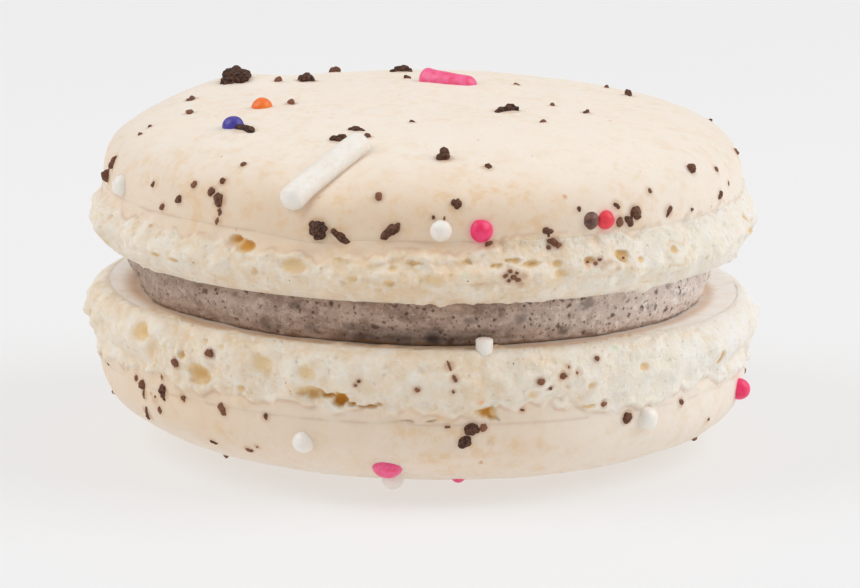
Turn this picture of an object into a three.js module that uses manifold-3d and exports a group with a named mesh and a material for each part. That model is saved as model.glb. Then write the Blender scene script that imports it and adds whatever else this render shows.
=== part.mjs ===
// A French macaron, at its real size in millimetres, +Z up.
// Two domed meringue shells stand rim to rim on a disc of cookie buttercream. Each shell has a smooth
// dome, and under it a foot, the ruffled and bubbly band that rises in the oven. Sugar balls, sugar
// rods and cookie crumbs are baked into the shells. The lower shell lies on its dome.
// The origin is on the flat spot that the lower dome rests on, and -Y is the front.

import * as THREE from "three";
import { mergeVertices } from "three/addons/utils/BufferGeometryUtils.js";
import Module from "manifold-3d";

const wasm = await Module();
wasm.setup();

// Driving dimensions
const DIAMETER = 50; // over the widest ruffle of a foot
const HEIGHT = 26; // from the flat spot to the top of the upper dome
const LOWER_SHELL_HEIGHT = 11.7;
const BUTTERCREAM_THICKNESS = 3.25;
const CONTACT_GAP = 0.05; // between the buttercream and each shell
const UPPER_FOOT_HEIGHT = 4.6;
const LOWER_FOOT_HEIGHT = 5.3;
const CROWN = 0.4; // that the upper apex rises over its own edge
const SUGAR_BALL_RADIUS = 0.8;
const SUGAR_ROD_RADIUS = 0.87;

const UPPER_SHELL_HEIGHT = HEIGHT - LOWER_SHELL_HEIGHT - BUTTERCREAM_THICKNESS;
const UPPER_LEAN = 0.01; // radians that the upper shell leans to the right
const LOWER_RIM_LEAN = 0.022; // slope of the lower rim, down to the right

// Facets of a shell: the foot has the most, and the rings halve towards the middle
const FOOT_SIDES = 132;
const FOOT_ROWS = 8;
const DOME_ROWS = 9;
const MIDDLE_ROWS = 3; // of the dome rows, those nearest the middle, with a quarter of the sides
const SKIRT_ROW = 0.06; // share of the dome at which an extra row rounds the skirt
const UNDERSIDE_ROWS = [
  [FOOT_SIDES / 4, 0.4], // sides, and share of the rim's radius
  [FOOT_SIDES / 2, 0.8],
];
const BUTTERCREAM_SIDES = 96;
const BUTTERCREAM_ROWS = 5;

// Each shell is described as it was baked: heights are taken from its flat underside
const UPPER = {
  name: "upper_shell",
  up: 1,
  footHeight: UPPER_FOOT_HEIGHT,
  domeHeight: UPPER_SHELL_HEIGHT - UPPER_FOOT_HEIGHT - CROWN,
  domeRadius: DIAMETER / 2 - 1,
  bulge: 1.1, // of the ruffle, past the dome
  bulgeAt: 0.48, // share of the foot's height
  bulgeSpread: 0.3,
  apexRadius: 6,
  apexShift: 0,
  domeWidthPower: 0.8,
  domeRisePower: 0.62,
  noiseShift: 0,
};
const LOWER = {
  name: "lower_shell",
  up: -1,
  footHeight: LOWER_FOOT_HEIGHT,
  domeHeight: LOWER_SHELL_HEIGHT - LOWER_FOOT_HEIGHT,
  domeRadius: DIAMETER / 2 - 0.6,
  bulge: 0.75,
  bulgeAt: 0.38,
  bulgeSpread: 0.33,
  apexRadius: 10.5, // the flat spot that it rests on
  apexShift: 1.5, // of that spot, to the right
  domeWidthPower: 1,
  domeRisePower: 0.75,
  noiseShift: 57,
};
const RIM_ROUNDING = 0.8;
const SKIRT_CREASE = 0.22; // depth of the crease between foot and dome

// Waves that put the biscuit out of round: how many go round it, bearing of a crest and height
const WAVES = [
  [2, 20, 0.12],
  [3, 40, 0.1],
];

// Relief by noise: size of its lumps along and up the side, and its depth from low to high
const LUMPS = { across: 2.6, up: 1.6, depth: 0.7 };
const CRAGS = { across: 1.15, up: 0.9, depth: 0.55 };
const SMEARS = { across: 5, up: 1.5, depth: 0.6 };

const TURN = Math.PI / 180;
const lerp = THREE.MathUtils.lerp;
const clamp = THREE.MathUtils.clamp;

// Value noise from 0 to 1 on a lattice whose corners are hashed
const fract = (value) => value - Math.floor(value);
const hash = (i, j, k) => fract(Math.sin(i * 127.1 + j * 311.7 + k * 74.7) * 43758.5453);
const ease = (t) => t * t * (3 - 2 * t);

function noise(x, y, z) {
  const [i, j, k] = [x, y, z].map(Math.floor);
  const [u, v, w] = [x - i, y - j, z - k].map(ease);
  const edge = (b, c) => lerp(hash(i, j + b, k + c), hash(i + 1, j + b, k + c), u);
  return lerp(lerp(edge(0, 0), edge(1, 0), v), lerp(edge(0, 1), edge(1, 1), v), w);
}

const relief = (at, { across, up, depth }) =>
  depth * (noise(at.x / across, at.y / across, at.z / up) - 0.5);

// Bearing 0 is the front, and 90 is the right-hand side
const around = (bearing, radius, height) =>
  new THREE.Vector3(
    radius * Math.sin(bearing * TURN),
    -radius * Math.cos(bearing * TURN),
    height,
  );

const outOfRound = (bearing) =>
  WAVES.reduce((sum, [count, crest, height]) => {
    return sum + height * Math.cos(count * (bearing - crest) * TURN);
  }, 0);

// The foot's radius before its relief, at a share of its height from rim to skirt
function footRadius(shell, share) {
  const ruffle = shell.bulge * Math.exp(-(((share - shell.bulgeAt) / shell.bulgeSpread) ** 2));
  const reach = RIM_ROUNDING - share * shell.footHeight;
  const rounding = reach > 0 ? RIM_ROUNDING - Math.sqrt(RIM_ROUNDING ** 2 - reach ** 2) : 0;
  const crease = share === 1 ? SKIRT_CREASE : 0;
  return shell.domeRadius + ruffle - rounding - crease;
}

// Crags and open bubbles of the foot, as a depth to add to its radius
function footRelief(shell, bearing, share) {
  const height = share * shell.footHeight;
  const at = around(bearing, DIAMETER / 2, height + shell.noiseShift);
  const fade = Math.sin(Math.PI * clamp(share, 0, 1)) ** 0.6; // to nothing at rim and skirt
  const bubbles = shell.bubbles.map(([centre, level, width, tall, depth]) => {
    const along = ((((bearing - centre + 540) % 360) - 180) * TURN * DIAMETER) / width;
    const up = (2 * (height - level)) / tall;
    return depth * Math.max(0, 1 - along ** 2 - up ** 2) ** 0.6;
  });
  return fade * (relief(at, LUMPS) + relief(at, CRAGS)) - Math.max(0, ...bubbles);
}

// A point of the foot's face
function footPoint(shell, bearing, share) {
  const radius = footRadius(shell, share) + footRelief(shell, bearing, share);
  return around(bearing, radius + outOfRound(bearing), share * shell.footHeight);
}

// Swells that raise the dome: its crown, and what makes it a little lopsided
const swellOf = (shell, point) =>
  shell.swells.reduce((rise, [bearing, reach, spread, height]) => {
    const centre = around(bearing, reach, point.z);
    return rise + height * Math.exp(-((point.distanceTo(centre) / spread) ** 2));
  }, 0);

// A point of the dome, from 0 at the skirt to 1 at the edge of the flat apex
function domePoint(shell, bearing, share) {
  const angle = (share * Math.PI) / 2;
  const inward = Math.max(0, Math.cos(angle)) ** shell.domeWidthPower;
  const radius = lerp(shell.apexRadius, shell.domeRadius, inward) + outOfRound(bearing) * inward;
  const rise = Math.sin(angle) ** shell.domeRisePower;
  const point = around(bearing, radius, shell.footHeight + shell.domeHeight * rise);
  point.x += shell.apexShift * rise ** 2;
  point.z += swellOf(shell, point);
  return point;
}

const ring = (sides, pointAt) =>
  Array.from({ length: sides }, (_, i) => pointAt((360 * i) / sides));

// The rings of a shell as baked, from the middle of its underside to the top of its dome
function shellRings(shell) {
  const rim = footRadius(shell, 0);
  const rings = [
    [new THREE.Vector3(0, 0, 0)],
    ...UNDERSIDE_ROWS.map(([sides, share]) => ring(sides, (bearing) => around(bearing, rim * share, 0))),
  ];
  for (let row = 0; row <= FOOT_ROWS; row += 1)
    rings.push(ring(FOOT_SIDES, (bearing) => footPoint(shell, bearing, row / FOOT_ROWS)));
  rings.push(ring(FOOT_SIDES, (bearing) => domePoint(shell, bearing, SKIRT_ROW)));
  for (let row = 1; row <= DOME_ROWS; row += 1) {
    const sides = row > DOME_ROWS - MIDDLE_ROWS ? FOOT_SIDES / 4 : FOOT_SIDES / 2;
    rings.push(ring(sides, (bearing) => domePoint(shell, bearing, row / DOME_ROWS)));
  }
  const top = new THREE.Vector3(shell.apexShift, 0, shell.footHeight + shell.domeHeight);
  rings.push([top.setZ(top.z + swellOf(shell, top))]);
  return rings;
}

// Joins rings into a closed skin. A ring has as many points as the one before it, twice or half as
// many, or one
function skin(rings) {
  const starts = [];
  const points = rings.flatMap((one, i) => {
    starts.push(i === 0 ? 0 : starts[i - 1] + rings[i - 1].length);
    return one;
  });
  const faces = [];
  rings.slice(1).forEach((next, i) => {
    const last = rings[i];
    const a = (step) => starts[i] + (step % last.length);
    const b = (step) => starts[i + 1] + (step % next.length);
    const sides = Math.max(last.length, next.length);
    for (let step = 0; step < sides; step += 1) {
      const onLast = (n) => a(Math.floor((n * last.length) / sides));
      const onNext = (n) => b(Math.floor((n * next.length) / sides));
      const ends = [onLast(step), onLast(step + 1), onNext(step + 1), onNext(step)];
      if (ends[0] !== ends[1]) faces.push([ends[0], ends[1], ends[2]]);
      if (ends[2] !== ends[3]) faces.push([ends[0], ends[2], ends[3]]);
    }
  });
  const geometry = new THREE.BufferGeometry().setFromPoints(points);
  geometry.setIndex(faces.flat());
  return geometry;
}

// A geometry as a solid, and a solid as a geometry
function solidOf(geometry) {
  const bare = new THREE.BufferGeometry();
  bare.setAttribute("position", geometry.getAttribute("position"));
  bare.setIndex(geometry.index);
  const merged = mergeVertices(bare, 1e-4);
  return new wasm.Manifold(
    new wasm.Mesh({
      numProp: 3,
      vertProperties: new Float32Array(merged.attributes.position.array),
      triVerts: new Uint32Array(merged.index.array),
    }),
  );
}

function geometryOf(solid) {
  const { vertProperties, triVerts } = solid.getMesh();
  const geometry = new THREE.BufferGeometry();
  geometry.setAttribute("position", new THREE.BufferAttribute(vertProperties, 3));
  geometry.setIndex(new THREE.BufferAttribute(triVerts, 1));
  geometry.computeVertexNormals();
  return geometry;
}

// Swells: bearing, reach, spread and height of each
UPPER.swells = [
  [0, 0, 12, CROWN],
  [-120, 17, 4.2, 0.85],
  [-20, 22, 3, -0.6], // a dent under a sugar rod
];
LOWER.swells = [];

// An even spread round the back, as count rows of a bearing and three seeded draws from 0 to 1
const spread = (count, seed, from) =>
  Array.from({ length: count }, (_, i) => [
    lerp(from, 360 - from, (i + hash(i, seed, 1)) / count),
    ...[2, 3, 4].map((draw) => hash(i, seed, draw)),
  ]);

// Open bubbles of the feet: bearing, height over the rim, width, height and depth of each
const BACK_BUBBLES_FROM = 66;
const backBubbles = (count, seed) =>
  spread(count, seed, BACK_BUBBLES_FROM).map(([bearing, level, width, depth]) => [
    bearing,
    lerp(1, 4.2, level),
    lerp(0.8, 2.6, width ** 2),
    lerp(0.6, 1.3, width),
    lerp(0.5, 1.3, depth ** 2),
  ]);
UPPER.bubbles = [
  [-50, 1.8, 0.9, 0.5, 0.5],
  [-32, 3.6, 2, 1.1, 1.3],
  [-29, 1.9, 0.8, 0.8, 0.5],
  [-22, 2.5, 2, 1.2, 0.6],
  [-5, 1.8, 1.1, 0.7, 0.5],
  [-5, 2.8, 0.8, 0.5, 0.5],
  [11, 2.9, 1.1, 0.6, 0.9],
  [16, 3.1, 2.6, 0.7, 1],
  [22, 2.8, 1, 0.9, 0.9],
  [28, 3, 1.1, 0.6, 0.7],
  [34, 3.1, 1.4, 1, 1],
  ...backBubbles(20, 5),
];
LOWER.bubbles = [
  [-56, 1.2, 1.7, 1.5, 0.7],
  [-51, 3.4, 0.6, 0.4, 0.5],
  [-44, 2, 0.9, 0.5, 0.7],
  [-41, 3.3, 1.7, 1.5, 0.8],
  [-35, 0.9, 0.6, 0.5, 0.4],
  [-32, 3.7, 0.9, 0.8, 0.6],
  [-28, 1.8, 1.8, 1.8, 0.45],
  [-19, 1.9, 1.7, 1.5, 0.45],
  [-18, 3.1, 1.8, 0.7, 1],
  [-14, 3.6, 1.2, 1.1, 1.4],
  [-7, 4.1, 1.1, 0.5, 0.6],
  [10, 4.5, 1.8, 0.9, 1.1],
  [28, 4.4, 1.5, 0.4, 0.6],
  [39, 1.9, 1.1, 0.7, 0.6],
  [59, 2.6, 0.9, 1.2, 0.9],
  ...backBubbles(20, 6),
];

// Toppings stand on the dome at a bearing and a climb, from 0 degrees at the skirt to 90 at the
// apex, or on the foot at a bearing and a height over the rim
const BACK_TOPPINGS_FROM = 120;
const backBalls = (count, seed) =>
  spread(count, seed, BACK_TOPPINGS_FROM).map(([bearing, climb]) => [bearing, lerp(2, 20, climb)]);
const backCrumbs = (count, seed) =>
  spread(count, seed, BACK_TOPPINGS_FROM).map(([bearing, climb, size, shape]) => {
    const across = lerp(0.8, 2.1, size ** 2);
    return [bearing, lerp(0, 32, climb), across, across * lerp(0.5, 0.95, shape)];
  });

// Sugar balls: bearing, climb and, where it isn't the usual one, the lift of its centre over the skin
UPPER.balls = [
  [-72, 73, -0.1],
  [-69, 3],
  [-55, 57, 0.05],
  [2, 2],
  [9, 2],
  [29, 3],
  [32, 3],
  [38, 4],
  ...backBalls(6, 11),
];
LOWER.balls = [
  [-21, 11],
  [-7.5, 28],
  [-8, 40, 0.2],
  [4.5, 44, -0.4],
  [41, 3],
  [73, 6, 0.2],
  ...backBalls(4, 12),
];

// Sugar rods: bearing and climb of each end, and how far the ends lie over the skin
UPPER.rods = [
  [[-23, 17], [-16, 53], 0.3],
  [[176, 89], [147, 90], 0.1],
  [[150, 4], [163, 17], 0.2],
];
LOWER.rods = [];

// Cookie crumbs on the dome: bearing, climb, size across and up the slope, and the thickness of those
// that stand up from the skin
UPPER.domeCrumbs = [
  [-172, 71, 1.8, 0.9, 0.9],
  [-155, 58, 1, 0.7, 0.8],
  [-128, 77, 1.4, 1.1, 1.4],
  [-114, 62, 2.5, 1.8, 2.2],
  [-98, 54, 1.1, 0.7],
  [-80, 54, 0.8, 0.6],
  [-77, 3, 0.8, 1.2],
  [-74, 11, 0.6, 1.1],
  [-50, 57, 1.7, 0.8],
  [-38, 8, 0.9, 1.1],
  [-22, 60, 1.4, 0.9],
  [-21, 69, 1.2, 0.6],
  [-18, 1, 1.5, 1.4],
  [-14, 0, 1.4, 1],
  [-5, 2, 1.5, 1],
  [4, 48, 1.1, 0.8],
  [5, 15, 0.8, 0.8],
  [21, 1, 0.9, 0.8],
  [23, 0, 1.1, 0.8],
  [36, 2, 1.3, 0.7],
  [44, 85, 2.3, 1.1, 1.1],
  [46, 2, 0.6, 0.9],
  [56, 21, 0.8, 0.8],
  [63, 2, 0.7, 1.2],
  [110, 59, 1.1, 0.6],
  ...backCrumbs(9, 21),
];
LOWER.domeCrumbs = [
  [-57, 2, 0.9, 0.8],
  [-51, 1, 0.8, 1.4],
  [-41, 21, 0.9, 0.7],
  [-36, 1, 0.8, 1.1],
  [7, 1, 1.1, 0.9],
  [7, 6, 1, 1.1],
  [36, 2, 0.9, 0.9],
  ...backCrumbs(7, 22),
];

// Cookie crumbs on the foot: bearing, height over the rim, and size across and up
UPPER.footCrumbs = [
  [14, 2.2, 1.1, 0.8],
  [30, 2.8, 1.1, 0.6],
];
LOWER.footCrumbs = [
  [-45, 2.7, 0.8, 0.7],
  [-38, 1.6, 0.8, 0.7],
  [4, 1.5, 0.6, 1.1],
];

// The broken end of a sugar rod that stands on the lower rim
const STUB = { bearing: 10, radius: 0.55, reach: 23.9, low: -0.9, high: 0.75 };

// A place on the skin: the point and the directions across it, up the slope and out
function placeOn(pointAt, bearing, up, step) {
  const point = pointAt(bearing, up);
  const across = pointAt(bearing + 1, up).sub(pointAt(bearing - 1, up)).normalize();
  const slope = pointAt(bearing, up + step).sub(pointAt(bearing, up - step));
  const out = across.clone().cross(slope).normalize();
  return { point, across, slope: out.clone().cross(across), out };
}

const onDome = (shell, bearing, climb) =>
  placeOn((b, c) => domePoint(shell, b, Math.max(c, 0) / 90), bearing, Math.max(climb, 2), 2);
const onFoot = (shell, bearing, level) =>
  placeOn((b, h) => footPoint(shell, b, h / shell.footHeight), bearing, level, 0.4);

// A rounded chunk with rough corners, lying on the skin
const CRUMB_THICKNESS = 0.75; // of its smaller side
const CRUMB_CORNERS = [0.9, 1.12]; // least and most that a corner stands out, as a share
const FOOT_CRUMB_SEED = 50;

function crumb(place, size, seed) {
  const [across, along, thick = CRUMB_THICKNESS * Math.min(across, along)] = size;
  const geometry = mergeVertices(
    new THREE.IcosahedronGeometry(0.5, 0).deleteAttribute("normal").deleteAttribute("uv"),
    1e-4,
  );
  const position = geometry.getAttribute("position");
  for (let i = 0; i < position.count; i += 1) {
    const corner = new THREE.Vector3().fromBufferAttribute(position, i);
    corner.multiplyScalar(lerp(...CRUMB_CORNERS, hash(i, seed, 7)));
    position.setXYZ(i, corner.x * across, corner.y * along, corner.z * thick);
  }
  const basis = new THREE.Matrix4().makeBasis(place.across, place.slope, place.out);
  return geometry.applyMatrix4(basis.setPosition(place.point));
}

const BALL_LIFT = -0.2; // of a ball's centre over the skin
const BALL_SIDES = 6;
const BALL_ROWS = 4;
const ROD_SIDES = 8;
const ROD_CAP_ROWS = 2;

function ball(place, lift = BALL_LIFT) {
  const centre = place.point.clone().addScaledVector(place.out, lift);
  const geometry = new THREE.SphereGeometry(SUGAR_BALL_RADIUS, BALL_SIDES, BALL_ROWS);
  return geometry.translate(centre.x, centre.y, centre.z);
}

function rod(from, to, radius) {
  const along = to.clone().sub(from);
  const geometry = new THREE.CapsuleGeometry(radius, along.length(), ROD_CAP_ROWS, ROD_SIDES);
  const turn = new THREE.Quaternion().setFromUnitVectors(
    new THREE.Vector3(0, 1, 0),
    along.normalize(),
  );
  const middle = from.clone().add(to).multiplyScalar(0.5);
  return geometry.applyQuaternion(turn).translate(middle.x, middle.y, middle.z);
}

// Everything fused to a shell, in the shell's frame as baked
function toppings(shell) {
  const end = ([bearing, climb], lift) => {
    const { point, out } = onDome(shell, bearing, climb);
    return point.addScaledVector(out, lift);
  };
  return [
    ...shell.balls.map(([bearing, climb, lift]) => ball(onDome(shell, bearing, climb), lift)),
    ...shell.rods.map(([from, to, lift]) => rod(end(from, lift), end(to, lift), SUGAR_ROD_RADIUS)),
    ...shell.domeCrumbs.map(([bearing, climb, ...size], i) =>
      crumb(onDome(shell, bearing, climb), size, i),
    ),
    ...shell.footCrumbs.map(([bearing, level, ...size], i) =>
      crumb(onFoot(shell, bearing, level), size, i + FOOT_CRUMB_SEED),
    ),
  ];
}

// A geometry as baked, turned dome down and leaned for the lower shell
function placed(shell, geometry) {
  if (shell.up > 0) return geometry;
  const position = geometry.getAttribute("position");
  for (let i = 0; i < position.count; i += 1) {
    const [x, z] = [position.getX(i), position.getZ(i)];
    position.setZ(i, -z - LOWER_RIM_LEAN * x * (1 - z / LOWER_SHELL_HEIGHT));
  }
  const corners = Array.from(geometry.index.array);
  geometry.setIndex(corners.map((_, i) => corners[i - (i % 3) + ((3 - (i % 3)) % 3)]));
  return geometry;
}

function shellMesh(shell, extras, colour) {
  const pieces = [skin(shellRings(shell)), ...toppings(shell), ...extras];
  const solids = pieces.map((piece) => solidOf(placed(shell, piece)));
  const material = new THREE.MeshStandardMaterial({ color: colour, roughness: 0.75 });
  const mesh = new THREE.Mesh(geometryOf(wasm.Manifold.union(solids)), material);
  mesh.name = shell.name;
  return mesh;
}

// The buttercream: a squeezed disc whose side bulges, set a little towards the front
const CREAM_RADIUS = 21.5;
const CREAM_SWELL = 0.35; // of its side, past its top
const CREAM_TAPER = 0.45; // that its bottom is narrower than its top
const CREAM_FORWARD = 1.4;
const CREAM_ASIDE = 0.25; // to the left

function buttercreamMesh() {
  const levels = (bearing, share) => {
    const at = around(bearing, CREAM_RADIUS, share * BUTTERCREAM_THICKNESS + LOWER_SHELL_HEIGHT);
    const swell = CREAM_SWELL * Math.sin(Math.PI * share) - CREAM_TAPER * (1 - share);
    const point = around(bearing, CREAM_RADIUS + swell + relief(at, SMEARS), 0);
    point.x -= CREAM_ASIDE;
    point.y -= CREAM_FORWARD;
    const bottom = LOWER_SHELL_HEIGHT - LOWER_RIM_LEAN * point.x + CONTACT_GAP;
    const top = LOWER_SHELL_HEIGHT + BUTTERCREAM_THICKNESS - UPPER_LEAN * point.x - CONTACT_GAP;
    return point.setZ(lerp(bottom, top, share));
  };
  const middle = (z) => [new THREE.Vector3(0, 0, z)];
  const rings = [middle(LOWER_SHELL_HEIGHT + CONTACT_GAP)];
  for (let row = 0; row <= BUTTERCREAM_ROWS; row += 1)
    rings.push(ring(BUTTERCREAM_SIDES, (bearing) => levels(bearing, row / BUTTERCREAM_ROWS)));
  rings.push(middle(LOWER_SHELL_HEIGHT + BUTTERCREAM_THICKNESS - CONTACT_GAP));
  const material = new THREE.MeshStandardMaterial({ color: 0xa39389, roughness: 0.6 });
  const mesh = new THREE.Mesh(skin(rings), material);
  mesh.name = "buttercream";
  return mesh;
}

const stubEnds = [STUB.low, STUB.high].map((z) => around(STUB.bearing, STUB.reach, -z));
const upper = shellMesh(UPPER, [], 0xeee2cf);
upper.position.z = LOWER_SHELL_HEIGHT + BUTTERCREAM_THICKNESS;
upper.rotation.y = UPPER_LEAN;
const lower = shellMesh(LOWER, [rod(...stubEnds, STUB.radius)], 0xeee2cf);
lower.position.z = LOWER_SHELL_HEIGHT;

const macaron = new THREE.Group();
macaron.add(lower, buttercreamMesh(), upper);
export default macaron;
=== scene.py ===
"""The looks of a French macaron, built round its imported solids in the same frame.

Shapes are worked out in millimetres and become metres when a mesh is made. Bearing 0 is the front
and 90 the right-hand side. A shell is described as it was baked, from its flat underside up, and
then set in place: the upper one as it is, the lower one turned over onto its dome.
"""

import itertools
import math
from types import SimpleNamespace

import bpy
import numpy as np
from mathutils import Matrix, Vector


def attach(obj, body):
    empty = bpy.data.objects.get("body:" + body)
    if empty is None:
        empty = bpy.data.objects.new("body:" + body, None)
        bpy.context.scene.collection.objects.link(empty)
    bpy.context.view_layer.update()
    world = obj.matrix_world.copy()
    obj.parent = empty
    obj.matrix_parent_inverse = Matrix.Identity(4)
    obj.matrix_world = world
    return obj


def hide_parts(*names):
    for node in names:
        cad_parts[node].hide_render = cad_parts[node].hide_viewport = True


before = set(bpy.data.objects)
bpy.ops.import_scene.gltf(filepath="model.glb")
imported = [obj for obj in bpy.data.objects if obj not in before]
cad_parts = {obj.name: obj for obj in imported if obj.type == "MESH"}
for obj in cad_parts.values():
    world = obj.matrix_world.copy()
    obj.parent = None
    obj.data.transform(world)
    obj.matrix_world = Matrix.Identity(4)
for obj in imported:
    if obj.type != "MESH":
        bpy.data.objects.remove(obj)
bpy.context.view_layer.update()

MM = 0.001

# Driving dimensions
DIAMETER = 50
HEIGHT = 26
LOWER_SHELL_HEIGHT = 11.7
BUTTERCREAM_THICKNESS = 3.25
CONTACT_GAP = 0.05
UPPER_FOOT_HEIGHT = 4.6
LOWER_FOOT_HEIGHT = 5.3
CROWN = 0.4
BALL_RADIUS = 0.8
BALL_LIFT = -0.2
ROD_RADIUS = 0.87
CREAM_RADIUS = 21.5
CREAM_SWELL = 0.35
CREAM_TAPER = 0.45
CREAM_FORWARD = 1.4
CREAM_ASIDE = 0.25
UPPER_SHELL_HEIGHT = HEIGHT - LOWER_SHELL_HEIGHT - BUTTERCREAM_THICKNESS
UPPER_LEAN = 0.01
LOWER_RIM_LEAN = 0.022
RIM_ROUNDING = 0.8
SKIRT_CREASE = 0.03
CREASE_WIDTH = 0.3

FINE = 1
FOOT_SIDES = int(1200 * FINE)
FOOT_ROWS = int(50 * FINE)
DOME_SIDES = FOOT_SIDES // 2
DOME_ROWS = int(100 * FINE)
APEX_ROWS = int(18 * FINE)
CREAM_SIDES = int(1160 * FINE)
CREAM_ROWS = int(52 * FINE)

# What sets each shell apart. The bulge of its foot has a size, and a place and spread as shares of the
# foot's height. The powers bend the dome's outline. Bands give the start and end bearing and the width
# of the skin that reaches down over the foot. Swells give the bearing, reach, width and height of soft
# rises and dents in the dome.
UPPER = SimpleNamespace(
    name="upper",
    up=1,
    foot_height=UPPER_FOOT_HEIGHT,
    dome_height=UPPER_SHELL_HEIGHT - UPPER_FOOT_HEIGHT - CROWN,
    dome_radius=DIAMETER / 2 - 1,
    bulge=1.1,
    bulge_at=0.48,
    bulge_spread=0.3,
    apex_radius=6,
    apex_shift=0,
    width_power=0.8,
    rise_power=0.62,
    noise_shift=0,
    underside_rows=6,
    browning=(0.4, 0.8),
    left_tan=0,
    froth_tone=0.1,
    bands=[(-85, -50, 0.85), (-50, 10, 1.15), (15, 100, 0.05)],
    swells=[(0, 0, 12, CROWN), (-120, 17, 4.2, 0.85), (-20, 22, 3, -0.6)],
)
LOWER = SimpleNamespace(
    name="lower",
    up=-1,
    foot_height=LOWER_FOOT_HEIGHT,
    dome_height=LOWER_SHELL_HEIGHT - LOWER_FOOT_HEIGHT,
    dome_radius=DIAMETER / 2 - 0.6,
    bulge=0.75,
    bulge_at=0.38,
    bulge_spread=0.33,
    apex_radius=10.5,
    apex_shift=1.5,
    width_power=1,
    rise_power=0.75,
    noise_shift=57,
    underside_rows=int(18 * FINE),
    browning=(0.25, 0.5),
    left_tan=0.3,
    froth_tone=-0.08,
    bands=[(-66, 24, 1.0)],
    swells=[],
)

# Waves that put the biscuit out of round: how many, bearing of a crest and height
WAVES = [(2, 20, 0.12), (3, 40, 0.1)]


# Noise and other small sums

def lerp(low, high, share):
    return low + (high - low) * share


def smooth(low, high, value):
    """Rises from 0 at low to 1 at high."""
    share = np.clip((value - low) / (high - low), 0, 1)
    return share * share * (3 - 2 * share)


def hashed(i, j, k):
    """A scattered number from 0 to 1."""
    value = np.sin(i * 127.1 + j * 311.7 + k * 74.7) * 43758.5453
    return value - np.floor(value)


def noise(x, y, z):
    """Value noise from 0 to 1 on a lattice whose corners are hashed."""
    i, j, k = np.floor(x), np.floor(y), np.floor(z)
    u, v, w = [t * t * (3 - 2 * t) for t in (x - i, y - j, z - k)]

    def edge(b, c):
        return lerp(hashed(i, j + b, k + c), hashed(i + 1, j + b, k + c), u)

    return lerp(lerp(edge(0, 0), edge(1, 0), v), lerp(edge(0, 1), edge(1, 1), v), w)


def relief(at, across, up, depth):
    """Noise as rises and hollows of a size across and up, and a depth from top to bottom."""
    return depth * (noise(at[..., 0] / across, at[..., 1] / across, at[..., 2] / up) - 0.5)


def pores(at, spacing, smallest, largest, seed):
    """Depth of round pores scattered through space, one to each cell of the spacing."""
    place = at / spacing
    cell = np.floor(place)
    depth = np.zeros(at.shape[:-1])
    for offset in itertools.product((-1, 0, 1), repeat=3):
        corner = cell + offset
        i, j, k = (corner[..., n] for n in range(3))
        draws = [hashed(i + seed, j - seed, k + 19.0 * n) for n in range(4)]
        centre = corner + np.stack(draws[:3], -1)
        reach = np.sum(((place - centre) * spacing) ** 2, -1)
        radius = lerp(smallest, largest, draws[3] ** 4)
        depth = np.maximum(depth, np.sqrt(np.maximum(radius**2 - reach, 0)))
    return depth


def around(bearing, radius, height):
    """The points at a bearing in degrees, a radius and a height."""
    turn = np.radians(bearing)
    return np.stack(np.broadcast_arrays(radius * np.sin(turn), -radius * np.cos(turn), height), -1)


def out_of_round(bearing):
    """How far the waves put the rim out at a bearing."""
    return sum(high * np.cos(np.radians(n * (bearing - crest))) for n, crest, high in WAVES)


def wrapped(angle):
    """The same angle from -180 to 180."""
    return (angle + 540) % 360 - 180


# Open bubbles and toppings that the photograph shows, and an even spread of more at the back

BACK_BUBBLES_FROM = 66
BACK_TOPPINGS_FROM = 120


def spread(count, seed, start):
    """Rows of a bearing and three seeded draws from 0 to 1."""
    return [
        [lerp(start, 360 - start, (i + hashed(i, seed, 1)) / count)]
        + [hashed(i, seed, draw) for draw in (2, 3, 4)]
        for i in range(count)
    ]


def back_bubbles(count, seed):
    """Bubbles of the back, in the same rows as the listed ones."""
    return [
        (b, lerp(1, 4.2, level), lerp(0.8, 2.6, wide**2), lerp(0.6, 1.3, wide), lerp(0.5, 1.3, deep**2))
        for b, level, wide, deep in spread(count, seed, BACK_BUBBLES_FROM)
    ]


def back_balls(count, seed):
    rows = spread(count, seed, BACK_TOPPINGS_FROM)
    return [(bearing, lerp(2, 20, climb)) for bearing, climb, _, _ in rows]


def back_crumbs(count, seed):
    rows = []
    for bearing, climb, size, shape in spread(count, seed, BACK_TOPPINGS_FROM):
        across = lerp(0.8, 2.1, size**2)
        rows.append((bearing, lerp(0, 32, climb), across, across * lerp(0.5, 0.95, shape)))
    return rows


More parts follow.
